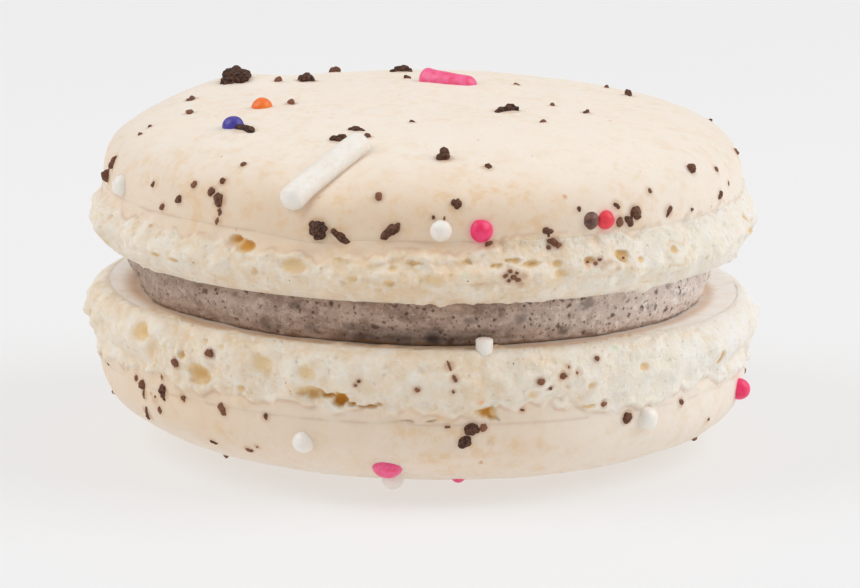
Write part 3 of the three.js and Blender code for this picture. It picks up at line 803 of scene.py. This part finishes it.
def buttercream_material():
    """Grey-brown buttercream with ground cookie all through it, and painted light on its right and left
    sides.
    """
    material, start, feed = new_material(
        "cookie_buttercream", Specular_IOR_Level=0.35, Subsurface_Weight=0.12,
        Subsurface_Radius=(1, 0.75, 0.6), Subsurface_Scale=0.5 * MM,
    )
    smear = start.clouds(1.3, 4, 0.65, (1.8, 1.8, 0.9))
    colour = smear.rising(0.32, 0.68).mixed(srgb(148, 121, 104), srgb(200, 174, 156))
    cloudy = start.clouds(0.6, 5, 0.7).rising(0.5, 0.64)
    colour = (cloudy * 0.6).mixed(colour, srgb(214, 190, 176))
    # Painted light: where light is high, at the right and a little at the left, the buttercream is painted
    # paler for the light that falls there.
    painted_lit_colour = cloudy.mixed(srgb(236, 220, 210), srgb(253, 246, 239))
    colour = start.attribute("light").mixed(colour, painted_lit_colour)
    murk = start.clouds(0.9, 4, 0.65).rising(0.52, 0.68)
    colour = (murk * 0.4).mixed(colour, srgb(122, 94, 80))
    colour = start.attribute("patch").mixed(colour, srgb(72, 62, 58))
    fine_specks = start.dots(0.3, 0.12, 0.6, 0.2, 0.1)
    specks = start.dots(0.55, 0.18, 0.55, 0.3, 0.2).most(start.dots(1.05, 0.34, 0.5, 0.6, 0.3))
    colour = (fine_specks * 0.8).mixed(colour, srgb(102, 70, 54))
    colour = (specks * 0.85).mixed(colour, srgb(78, 48, 35))
    colour = start.attribute("tone").mixed(colour, srgb(128, 92, 58))
    feed("Base Color", colour)
    feed("Roughness", smear.rising(0.2, 0.8) * 0.2 + 0.48)
    feed("Normal", bump(start, start.clouds(0.3, 4, 0.65) + specks * 0.4, 0.1))
    return material


def cookie_material():
    """Rough dark chocolate cookie with a few oily glints."""
    material, start, feed = new_material("cookie_crumb", Specular_IOR_Level=0.3)
    grain = start.clouds(0.2, 4, 0.7)
    colour = grain.rising(0.42, 0.6).mixed(srgb(30, 16, 11), srgb(106, 68, 48))
    colour = (start.clouds(0.45, 2).rising(0.55, 0.75) * 0.5).mixed(colour, srgb(126, 78, 54))
    colour = start.attribute("pale").mixed(colour, srgb(150, 100, 74))
    feed("Base Color", colour)
    feed("Roughness", start.clouds(0.22, 2).rising(0.4, 0.6) * 0.55 + 0.25)
    feed("Normal", bump(start, grain, 0.12))
    return material


SUGAR = {
    WHITE: (srgb(249, 243, 235), srgb(244, 235, 224)),
    PINK: (srgb(252, 58, 124), srgb(242, 30, 90)),
    ROSE: (srgb(254, 106, 158), srgb(246, 70, 122)),
    RED: (srgb(248, 62, 82), srgb(230, 44, 58)),
    BLUE: (srgb(72, 58, 168), srgb(56, 44, 140)),
    ORANGE: (srgb(255, 132, 22), srgb(252, 110, 8)),
    COCOA: (srgb(132, 92, 74), srgb(72, 38, 26)),
}


def sugar_material(name):
    """Hard sugar with a thin glaze, a little mottled in the oven."""
    light, deep = SUGAR[name]
    material, start, feed = new_material(
        f"sugar_{name}", Specular_IOR_Level=0.5, Subsurface_Weight=0.3, Subsurface_Radius=(1, 0.7, 0.6),
        Subsurface_Scale=0.5 * MM, Coat_Weight=0.25, Coat_Roughness=0.3,
    )
    feed("Base Color", start.clouds(0.6, 3, 0.6).rising(0.35, 0.7).mixed(light, deep))
    feed("Roughness", start.clouds(0.4, 2).rising(0.2, 0.8) * 0.2 + 0.3)
    feed("Normal", bump(start, start.clouds(0.3, 3, 0.6), 0.04))
    return material


# Toppings as skins

def globe(sides, rows):
    """Unit directions of a ball's rings, and its two ends."""
    bearing = 360 * np.arange(sides)[None, :] / sides
    tilt = np.radians(lerp(-90, 90, (np.arange(rows) + 1) / (rows + 1)))[:, None]
    rings = around(bearing, np.cos(tilt), np.sin(tilt))
    return np.concatenate([rings.reshape(-1, 3), [[0, 0, -1], [0, 0, 1]]])


def lump(centre, axes, sizes, sides, rows, shape):
    """A rounded piece: sizes are its widths along its axes, and shape makes it of a globe's points."""
    body = shape(globe(sides, rows))
    world = centre + (body / np.ptp(body, axis=0) * sizes) @ np.stack(axes)
    return skin(world[:-2].reshape(rows, sides, 3), world[-2], world[-1])


def ball_skin(shell, seed, bearing, climb, width, tall, lift=BALL_LIFT):
    def shape(unit):
        return unit * (1 + 0.1 * (noise(*(unit * 1.3 + seed * 3.7).T) - 0.5))[:, None]

    spot = on_dome(shell, bearing, climb)
    sizes = np.array([width, tall, 2 * BALL_RADIUS])
    return lump(spot.point + lift * spot.out, (spot.across, spot.slope, spot.out), sizes, 40, 24, shape)


GRAINS = 12  # that a crumb is a cluster of
GRAIN_OFFSET = (0.3, 0.62)
GRAIN_RADIUS = (0.5, 0.85)
CRUMB_CORE = 0.68  # size of the solid middle, as a share of the crumb's
CRUMB_FINENESS = SimpleNamespace(large=0.09, small=0.075, most_sides=60, fewest_sides=14)
CRUMB_ROUGHNESS = [(0.25, 0.2), (0.12, 0.15)]  # size and depth
FOOT_CRUMB_PALER = 0.3
FOOT_CRUMB_SEED = 100


def grain_cluster(unit, sizes, seed):
    """The outside of a cluster of grains, seen from its middle in the directions of an ellipsoid."""
    away = unit * sizes
    core = np.linalg.norm(away, axis=-1)
    unit = away / core[:, None]
    reach = core * CRUMB_CORE
    for grain in range(GRAINS):
        tilt, turn, offset, size = (hashed(seed, grain, draw) for draw in (11, 12, 13, 14))
        tilt = math.acos(1 - 2 * tilt)
        middle = around(360 * turn, math.sin(tilt), math.cos(tilt))
        middle = middle * lerp(*GRAIN_OFFSET, offset) * sizes
        radius = lerp(*GRAIN_RADIUS, size) * min(sizes) * 0.75
        along = unit @ middle
        inside = radius**2 - middle @ middle + along**2
        reach = np.maximum(reach, np.where(inside > 0, along + np.sqrt(np.maximum(inside, 0)), 0))
    return unit, reach


def crumb_skin(spot, seed, across, along, turn=None, thick=None, paler=0.0):
    """A crumb lies in the skin, turned any way if no turn is given, and stands out more on top."""
    turn = math.radians(turn) if turn is not None else 0.6 * (hashed(seed, 3, 8) - 0.5)
    thick = thick or min(across, along) * lerp(0.8, 1.3, smooth(0.4, 0.9, abs(spot.out[2])))
    one = math.cos(turn) * spot.across + math.sin(turn) * spot.slope
    two = np.cross(spot.out, one)
    sizes = np.array([across, along, thick])
    fineness = CRUMB_FINENESS
    step = fineness.large if across * along > 0.5 else fineness.small
    sides = (across + along) * 1.57 / step
    sides = int(np.clip(sides, fineness.fewest_sides, fineness.most_sides))
    rows = int(sides * 0.55)

    def shape(unit):
        unit, reach = grain_cluster(unit, sizes / 2, seed)
        body = unit * reach[:, None]
        rough = sum(deep * (noise(*(body / size + seed).T) - 0.5) for size, deep in CRUMB_ROUGHNESS)
        return body * (1 + rough)[:, None]

    one_skin = lump(spot.point, (one, two, spot.out), sizes, sides, rows, shape)
    small = smooth(3, 0.1, across * along)
    pale = paler + 0.6 * small * hashed(seed, 6, 2) ** 2 + 0.3 * small**4
    one_skin.facts = {"pale": np.full(len(one_skin.verts), pale)}
    return one_skin


def rod_skin(start, end, radius, seed, cap, bend=0.0):
    """A sugar rod with rounded ends, thinner where it has melted a little."""
    rows, sides = 60, 40
    along = end - start
    length = np.linalg.norm(along) + 2 * radius * cap
    along = along / np.linalg.norm(along)
    side = np.cross(along, [0, -1, 0.1])
    side = side / np.linalg.norm(side)
    up = np.cross(side, along)
    share = (np.arange(rows) + 0.5) / rows
    share = (1 - np.cos(math.pi * share)) / 2
    ends = np.clip(np.minimum(share, 1 - share) * length / (radius * cap), 0, 1)
    thick = radius * np.sqrt(1 - (1 - ends) ** 2)
    middle = (start + end) / 2 + np.outer((share - 0.5) * length, along)
    middle = middle + np.outer(bend * np.sin(math.pi * share), up)
    angle = 2 * math.pi * np.arange(sides) / sides
    ring = np.outer(np.cos(angle), side) + np.outer(np.sin(angle), up)
    points = middle[:, None] + thick[:, None, None] * ring[None]
    rough = noise(points[..., 0] * 0.9 + seed, points[..., 1] * 0.9, points[..., 2] * 0.9) - 0.5
    points = points + 0.1 * rough[..., None] * ring[None] * thick[:, None, None]
    tips = [(start + end) / 2 + sign * length / 2 * along for sign in (-1, 1)]
    return turned(skin(points, *tips))


# Marks in the meringue round the toppings: what they are, centre, radius and strength

def topping_marks(shell):
    """Stains of crumbs, pink halos round pink and red balls, raised lips, and coloured flecks."""
    marks = []
    for bearing, climb, width, _, colour, *_ in shell.balls:
        spot = on_dome(shell, bearing, climb).point
        if colour in (PINK, RED):
            # A pink halo round each pink and red ball.
            marks.append(("pink_halo", spot, width * 0.4, 0.5 if colour == PINK else 0.35))
        marks.append(("lip", spot, width * 0.45, 0.08))
    for index, (bearing, climb, across, along, *_) in enumerate(shell.dome_crumbs):
        spot = on_dome(shell, bearing, climb).point
        size = (across + along) / 2
        marks.append(("stain_and_shade", spot, size * 0.5, 0.15 + 0.4 * hashed(index, 4, 4)))
        marks.append(("lip", spot, size * 0.4, 0.06))
    for bearing, level, across, along, *_ in shell.foot_crumbs:
        marks.append(("stain_and_shade", on_foot(shell, bearing, level).point, (across + along) / 4, 0.5))
    for bearing, level, kind in shell.flecks:
        marks.append((kind, on_foot(shell, bearing, level).point, 0.05, 0.7))
    return marks


MARK_EDGE = 0.16  # over which a mark fades
PINK_HALO_EDGE = 0.28


def marked(points, marks, kind):
    """How strongly the marks of a kind show at each point."""
    total = np.zeros(points.shape[:-1])
    edge = PINK_HALO_EDGE if kind == "pink_halo" else MARK_EDGE
    for sort, centre, radius, strength in marks:
        if sort == kind:
            far = np.linalg.norm(points - centre, axis=-1)
            total = np.maximum(total, strength * np.exp(-((np.maximum(far - radius, 0) / edge) ** 2)))
    return total


# The shells

DOME_TUCK = SimpleNamespace(inward=0.06, down=0.15)  # of its first ring, under the foot's top
# A groove beside the front sugar rod, and the strength of the rod's painted shadow in it.
GROOVE_AND_SHADOW = SimpleNamespace(aside=1.1, width=0.4, depth=0.22, stain_and_shade=0.45)
UNDERSIDE_RINGS = [4, 10, 16, 19]
UNDERSIDE_FINE_FROM = 20.2
RIM_ARC = 80
RIM_ARC_ROWS = 8
BY_FILLING_TAN = SimpleNamespace(width=0.75, tone=1.1, stain_and_shade=0.4)


def dome_shares(shell, rows):
    """Shares of the dome at which its rings lie, closer together near the skirt."""
    fine = np.linspace(0, 1, 3000) ** 2
    side = dome_point(shell, 0.0, fine)
    length = np.concatenate([[0], np.cumsum(np.linalg.norm(np.diff(side, axis=0), axis=-1))])
    return np.interp(length[-1] * np.linspace(0, 1, rows) ** 1.25, length, fine)


def groove_and_shadow_by_rod(points, shell):
    """A shallow groove along the right of the sugar rod on the front, with the rod's painted shadow in it,
    and how strongly they show.
    """
    if shell.up < 0:
        return np.zeros(points.shape[:-1])
    ends = [on_dome(shell, *end[:2]).point for end in UPPER.rods[0][:2]]
    along = ends[1] - ends[0]
    share = ((points - ends[0]) @ along) / (along @ along)
    offset = points - ends[0] - share[..., None] * along
    right = np.cross(along, [0, 0, 1.0])
    right = right / np.linalg.norm(right)
    aside = offset @ right
    ends_fade = np.exp(-((np.abs(share - 0.45) / 0.52) ** 6))
    return np.exp(-(((aside - GROOVE_AND_SHADOW.aside) / GROOVE_AND_SHADOW.width) ** 2)) * ends_fade


def shell_facts(shell, bearing, height, at, points, marks, froth, hollow_shade, tone):
    """What the meringue's material is told about each point. The heights may be of its last rows alone."""
    # A faint broken tan line along the fold of the skirt.
    line = np.exp(-(((at[..., 2] - shell.noise_shift - shell.foot_height) / 0.1) ** 2))
    broken = smooth(0.4, 0.65, noise_of(at, 1.6))
    facts = {kind: marked(points, marks, kind) for kind in ("stain_and_shade", "pink_halo", "mint", "amber")}
    facts["stain_and_shade"] = np.maximum(facts["stain_and_shade"], 0.2 * line * broken * (1 - froth))
    # Painted shade: a broken gold line just above where the froth gives way to skin.
    gold = np.exp(-(((height - 0.1 - skin_band(shell, bearing)) / 0.14) ** 2))
    side = slice(-len(height), None)
    gold = gold * smooth(0.35, 0.7, noise_of(at[side], 0.8))
    facts["stain_and_shade"][side] = np.maximum(facts["stain_and_shade"][side], 0.32 * gold)
    return {"tone": tone, "froth": froth, "hollow_shade": hollow_shade, **facts}


def browning_and_painted_light(shell, bearing, low, high):
    """How browned a shell is round its side: most at the front, tanner at the left of the lower one,
    and paler at the right, which is painted light for the strong light on that side.
    """
    angle = wrapped(bearing)
    front = np.exp(-((angle + 3) / 42) ** 2)
    # Painted light: paler at the right, where the light falls strongest.
    right = smooth(10, 65, angle) * smooth(150, 110, angle)
    left = smooth(-15, -45, angle) * smooth(-120, -80, angle)
    return lerp(low, high, front) + shell.left_tan * left - 0.55 * right


def dome_piece(shell, material, marks):
    """The dome of a shell, from just under the foot's top to its apex."""
    shares = [[0], dome_shares(shell, DOME_ROWS), 1 + np.arange(1, APEX_ROWS) / APEX_ROWS]
    shares = np.concatenate(shares)
    bearing = 360 * np.arange(DOME_SIDES)[None, :] / DOME_SIDES
    base = dome_point(shell, bearing, shares[:, None])
    flat = around(bearing, 1, 0)
    height = base[..., 2] - swell(shell, base)
    out_to_foot = foot_radius(shell, shell.foot_height) - shell.dome_radius
    out_to_foot = out_to_foot * smooth(0.9, 0, height - shell.foot_height)
    base = base + (out_to_foot - crease(shell, height))[..., None] * flat
    climb = 90 * np.minimum(shares, 1)[:, None]
    at = base + np.array([0, 0, shell.noise_shift])
    froth = froth_on_side(shell, bearing, height) * smooth(1.2, 0.5, height - shell.foot_height)
    rise, crevice = foam(at)
    base = base + (froth * (rise + froth_lip(shell, bearing, height)))[..., None] * flat
    base[0] -= DOME_TUCK.inward * flat[0] + np.array([0, 0, DOME_TUCK.down])
    points = placed(shell, base)
    normal = grid_normals(points) * shell.up
    level = (smooth(88, 80, climb) if shell.up < 0 else 1) * smooth(0, 0.8, height - shell.foot_height)
    uneven = relief(at, 5, 5, 0.18) + relief(at, 2.1, 2.1, 0.09) + relief(at, 0.7, 0.7, 0.03)
    dimples = pores(at, 2.2, 0.02, 0.16, 3) * 0.5
    rod_groove_shade = groove_and_shadow_by_rod(points, shell)
    rise = (uneven - dimples) * level + marked(points, marks, "lip") - GROOVE_AND_SHADOW.depth * rod_groove_shade
    points = points + normal * rise[..., None]
    front = np.exp(-((wrapped(bearing) + 5) / 50) ** 2)
    tone = 0.1 + smooth(lerp(40, 64, front), 0, climb) * browning_and_painted_light(shell, bearing, *shell.browning)
    # The froth's creases get painted gold shade.
    facts = shell_facts(shell, bearing, height, at, points, marks, froth, 0.3 * crevice * froth, tone)
    # Painted shadow of the rod, in tan, along its groove.
    facts["stain_and_shade"] = np.maximum(facts["stain_and_shade"], GROOVE_AND_SHADOW.stain_and_shade * rod_groove_shade)
    tip = placed(shell, dome_point(shell, np.array(0.0), np.array(2.0)))
    one = skin(points, cap_end=tip, **facts)
    one = one if shell.up > 0 else turned(one)
    make_piece(f"{shell.name}_dome", [one], material, f"{shell.name}_shell")


def flat_froth(shell, bearing, radius, at):
    """How frothy the flat side of a shell is: only the lower one, near its edge, and not at its left."""
    if shell.up > 0:
        return np.zeros(np.broadcast(bearing, radius).shape)
    angle = wrapped(bearing)
    edge = 22.9 + 1.2 * smooth(40, 80, angle) + relief(at, 1.6, 1, 0.5) + relief(at, 0.5, 1, 0.25)
    return smooth(-0.15, 0.15, radius - edge) * smooth(-66, -56, angle)


def foot_piece(shell, material, marks):
    """The flat side of a shell and its ruffled foot, up to the skirt."""
    rim = foot_radius(shell, 0.0)
    bearing = 360 * np.arange(FOOT_SIDES)[None, :] / FOOT_SIDES
    inner = np.linspace(UNDERSIDE_FINE_FROM, rim, shell.underside_rows)[:-1]
    inner = np.concatenate([UNDERSIDE_RINGS, inner])[:, None]
    arc = np.radians(np.linspace(0, RIM_ARC, RIM_ARC_ROWS))
    arc_heights = RIM_ROUNDING * (1 - np.cos(arc))
    heights = np.linspace(arc_heights[-1], shell.foot_height, FOOT_ROWS)[1:]
    heights = np.concatenate([arc_heights, heights])[:, None]
    flat = around(bearing, inner, 0.0)
    at = around(bearing, DIAMETER / 2, heights + shell.noise_shift)
    radius = foot_radius(shell, heights) + foot_lumps(shell, at, heights)
    radius = radius + out_of_round(bearing) - crease(shell, heights)
    holes = bubble_depth(shell, bearing, heights)
    side = around(bearing, radius - BUBBLE_SHARE * holes, heights)
    side[..., 2] += swell(shell, side) * smooth(0.6, 1, heights / shell.foot_height)
    base = np.concatenate([flat, side])
    at = base + np.array([0, 0, shell.noise_shift])

    outward = np.concatenate([np.zeros(len(inner)), np.sin(arc), np.ones(FOOT_ROWS - 1)])[:, None, None]
    out = outward * around(bearing, 1, 0) - np.sqrt(1 - outward**2) * np.array([0, 0, 1])
    side_froth = froth_on_side(shell, bearing, heights)
    froth = np.concatenate([flat_froth(shell, bearing, inner, at[: len(inner)]), side_froth])
    edge = np.abs(np.linalg.norm(base[..., :2], axis=-1) - rim) + base[..., 2]
    rise, crevice = foam(at)
    rise[len(inner) :] += froth_lip(shell, bearing, heights)
    relieved = froth * smooth(-0.1, 0.8, edge) * rise
    spokes = np.stack(np.broadcast_arrays(bearing, np.linalg.norm(base[..., :2], axis=-1), 0.0), -1)
    wrinkles = relief(spokes, 2.6, 1, 0.08)
    on_flat = np.concatenate([np.ones(len(inner)), np.zeros(len(heights))])[:, None]
    rise = relieved + on_flat * (1 - froth) * wrinkles
    points = placed(shell, base + out * rise[..., None])

    # Painted shade: gold in the froth's creases, and more in its bubbles.
    hollow_shade = 0.3 * crevice * froth * smooth(0, 0.9, edge)
    hollow_shade[len(inner) :] += np.clip(holes / 1.1, 0, 1)
    tone = 0.1 + browning_and_painted_light(shell, bearing, *shell.browning)
    tone = lerp(tone, browning_and_painted_light(shell, bearing, 0, 0.4) + shell.froth_tone, froth)
    turn = np.radians(bearing)
    filling_edge = CREAM_RADIUS + CREAM_FORWARD * np.cos(turn) - CREAM_ASIDE * np.sin(turn)
    off_filling = np.linalg.norm(base[..., :2], axis=-1) - filling_edge
    # Tanner and darker on the flat side, next to the filling.
    by_filling = np.exp(-((off_filling / BY_FILLING_TAN.width) ** 2)) * on_flat * (shell.up < 0)
    # Painted light: the flat side's skin is pushed paler, by the 1.3 taken off its tone, against the shade
    # it lies in between the shells.
    tone = tone + on_flat * (1 - froth) * (wrinkles * 5 - 1.3) + BY_FILLING_TAN.tone * by_filling
    facts = shell_facts(shell, bearing, heights, at, points, marks, froth, hollow_shade, tone)
    facts["stain_and_shade"] = np.maximum(facts["stain_and_shade"], BY_FILLING_TAN.stain_and_shade * by_filling**2)
    one = skin(points, cap_start=placed(shell, np.zeros(3)), **facts)
    one = one if shell.up > 0 else turned(one)
    make_piece(f"{shell.name}_foot", [one], material, f"{shell.name}_shell")


# The filling

# Dark smudges of cookie in the buttercream's side: bearing, share of its height, width and height
SMUDGES = [
    (-30.5, 0.25, 1.6, 1.1), (-21, 0.3, 1.2, 1.0), (-13, 0.35, 0.9, 0.6), (-24, 0.75, 1.2, 0.7),
    (-38, 0.85, 0.7, 0.5), (9, 0.6, 1.2, 0.5), (14, 0.95, 1.7, 0.5), (19, 0.6, 1.1, 0.8),
    (34, 0.8, 1.3, 0.7), (-8, 0.3, 0.8, 0.5), (4, 0.2, 2.4, 0.5), (29, 0.25, 0.8, 0.6),
]


def buttercream_piece():
    """The disc of buttercream: gritty sides, dark smudges, a brown line at its lower edge, and painted light
    towards its right and left.
    """
    bearing = 360 * np.arange(CREAM_SIDES)[None, :] / CREAM_SIDES
    angle = wrapped(bearing)
    share = np.linspace(0, 1, CREAM_ROWS)[:, None]
    at = around(bearing, CREAM_RADIUS, share * BUTTERCREAM_THICKNESS + LOWER_SHELL_HEIGHT)
    swelling = CREAM_SWELL * np.sin(math.pi * share) - CREAM_TAPER * (1 - share)
    lines = relief(at, 7, 0.32, 0.2) * smooth(30, 12, np.abs(angle - 2)) * smooth(0.6, 0.2, share)
    upright = relief(at, 0.5, 3.5, 0.14) * smooth(35, 60, np.abs(angle))
    gritty = relief(at, 0.8, 0.6, 0.18) + relief(at, 0.35, 0.3, 0.12) + relief(at, 0.18, 0.16, 0.05)
    pits = pores(at, 1.3, 0.03, 0.3, 12)
    radius = CREAM_RADIUS + swelling + relief(at, 5, 1.5, 0.6) + lines + upright + gritty - pits
    patch = np.zeros(radius.shape)
    for centre, level, wide, tall in SMUDGES:
        along = wrapped(bearing - centre) * math.pi / 180 * CREAM_RADIUS / wide
        up = (share - level) * BUTTERCREAM_THICKNESS / tall
        reach = np.sqrt(along**2 + up**2) * 2 + relief(at, 0.9, 0.7, 1.6) + relief(at, 0.35, 0.3, 0.9)
        patch = np.maximum(patch, 0.55 * smooth(1.4, 0.1, reach))
    dark_band = smooth(-20, -8, angle) * smooth(22, 8, angle) * smooth(0.55, 0.1, share)
    patch = np.maximum(patch, 0.9 * dark_band * (0.4 + noise_of(at, 0.9)))
    point = around(bearing, radius - 0.06 * patch, 0.0)
    point[..., 0] -= CREAM_ASIDE
    point[..., 1] -= CREAM_FORWARD
    bottom = LOWER_SHELL_HEIGHT - LOWER_RIM_LEAN * point[..., 0] + CONTACT_GAP
    top = LOWER_SHELL_HEIGHT + BUTTERCREAM_THICKNESS - UPPER_LEAN * point[..., 0] - CONTACT_GAP
    point[..., 2] = lerp(bottom, top, share)
    tone = smooth(0.1, 0.02, share + relief(at, 0.7, 1, 0.1)) * 0.7
    tone = np.maximum(tone, 0.25 * smooth(-15, -50, angle) * smooth(-95, -70, angle))
    # Painted light: paler towards the right and a little towards the left, where more light falls on the
    # filling.
    light = 0.95 * smooth(0, 62, angle) + 0.28 * smooth(-15, -50, angle)
    one = skin(
        point,
        cap_start=(0, 0, LOWER_SHELL_HEIGHT + CONTACT_GAP),
        cap_end=(0, 0, LOWER_SHELL_HEIGHT + BUTTERCREAM_THICKNESS - CONTACT_GAP),
        patch=patch,
        tone=tone,
        light=light + 0 * radius,
    )
    make_piece("filling", [one], buttercream_material(), "buttercream")


# All the pieces

meringue, cookie = meringue_material(), cookie_material()
sugar_skins = {colour: [] for colour in SUGAR}
for shell in (UPPER, LOWER):
    marks = topping_marks(shell)
    dome_piece(shell, meringue, marks)
    foot_piece(shell, meringue, marks)
    crumbs = [
        crumb_skin(on_dome(shell, bearing, climb), seed, *size)
        for seed, (bearing, climb, *size) in enumerate(shell.dome_crumbs)
    ] + [
        crumb_skin(on_foot(shell, bearing, level), seed, *size, paler=FOOT_CRUMB_PALER)
        for seed, (bearing, level, *size) in enumerate(shell.foot_crumbs, FOOT_CRUMB_SEED)
    ]
    make_piece(f"{shell.name}_crumbs", crumbs, cookie, f"{shell.name}_shell")
    for seed, (bearing, climb, width, tall, colour, *lift) in enumerate(shell.balls):
        sugar_skins[colour].append(ball_skin(shell, seed, bearing, climb, width, tall, *lift))
for seed, (first, last, radius, bend, colour) in enumerate(UPPER.rods):
    ends = [(on_dome(UPPER, bearing, climb), lift) for bearing, climb, lift in (first, last)]
    ends = [end.point + lift * end.out for end, lift in ends]
    sugar_skins[colour].append(rod_skin(*ends, radius, seed, ROD_CAP, bend))
stub = [placed(LOWER, around(STUB.bearing, STUB.reach, -height)) for height in (STUB.low, STUB.high)]
sugar_skins[WHITE].append(rod_skin(*stub, STUB.radius, STUB.seed, STUB.cap))
for colour, skins in sugar_skins.items():
    make_piece(f"sugar_{colour}", skins, sugar_material(colour), "upper_shell")
buttercream_piece()


# Studio

AIM = Vector((0.47, 0, 10.68)) * MM
CAMERA_RISE = math.radians(11.995)
CAMERA_AWAY = 363.57 * MM
LENS = 201.56

# Lamps and floor are placed in metres
LAMPS = [
    SimpleNamespace(name="over", place=(0.05, 0.12, 0.55), size=0.6, power=0.3),
    SimpleNamespace(name="right", place=(0.5, -0.05, 0.4), size=0.5, power=1.85),
    SimpleNamespace(name="left", place=(-0.5, -0.05, 0.5), size=0.5, power=1.85),
]
LAMPS_AIM = Vector((0, 0, 0.012))
AIR_LIGHT = 0.48
FLOOR_REACH = 3
FLOOR_GLOW = (1.0, 0.955, 0.91, 1.0)


def place_camera():
    camera = bpy.data.objects.new("camera", bpy.data.cameras.new("camera"))
    camera.data.lens = LENS
    camera.data.sensor_width = 36
    camera.data.sensor_fit = "HORIZONTAL"
    camera.data.clip_start = 0.01
    camera.location = AIM + CAMERA_AWAY * Vector((0, -math.cos(CAMERA_RISE), math.sin(CAMERA_RISE)))
    camera.rotation_euler = (AIM - camera.location).to_track_quat("-Z", "Y").to_euler()
    bpy.context.collection.objects.link(camera)
    bpy.context.scene.camera = camera


def light_up():
    for one in LAMPS:
        lamp = bpy.data.objects.new(one.name, bpy.data.lights.new(one.name, "AREA"))
        lamp.data.size = one.size
        lamp.data.energy = one.power
        lamp.location = one.place
        lamp.rotation_euler = (LAMPS_AIM - lamp.location).to_track_quat("-Z", "Y").to_euler()
        bpy.context.collection.objects.link(lamp)
    world = bpy.data.worlds.new("studio_air")
    world.use_nodes = True
    world.node_tree.nodes["Background"].inputs["Color"].default_value = (1, 1, 1, 1)
    world.node_tree.nodes["Background"].inputs["Strength"].default_value = AIR_LIGHT
    bpy.context.scene.world = world
    bpy.context.scene.view_settings.view_transform = "Standard"


def lay_floor():
    """A pale table that glows a little, so that shadows on it stay light."""
    material, start, feed = new_material(
        "pale_table", Specular_IOR_Level=0.2, Emission_Color=FLOOR_GLOW, Emission_Strength=0.5,
    )
    feed("Base Color", start.clouds(60, 2).mixed(srgb(166, 170, 175), srgb(162, 166, 171)))
    feed("Roughness", start.clouds(20, 2) * 0.1 + 0.6)
    floor = bpy.data.meshes.new("floor")
    corners = [(x * FLOOR_REACH, y * FLOOR_REACH, 0) for x, y in ((-1, -1), (1, -1), (1, 1), (-1, 1))]
    floor.from_pydata(corners, [], [(0, 1, 2, 3)])
    floor.materials.append(material)
    floor = bpy.data.objects.new("floor", floor)
    bpy.context.collection.objects.link(floor)


place_camera()
light_up()
lay_floor()
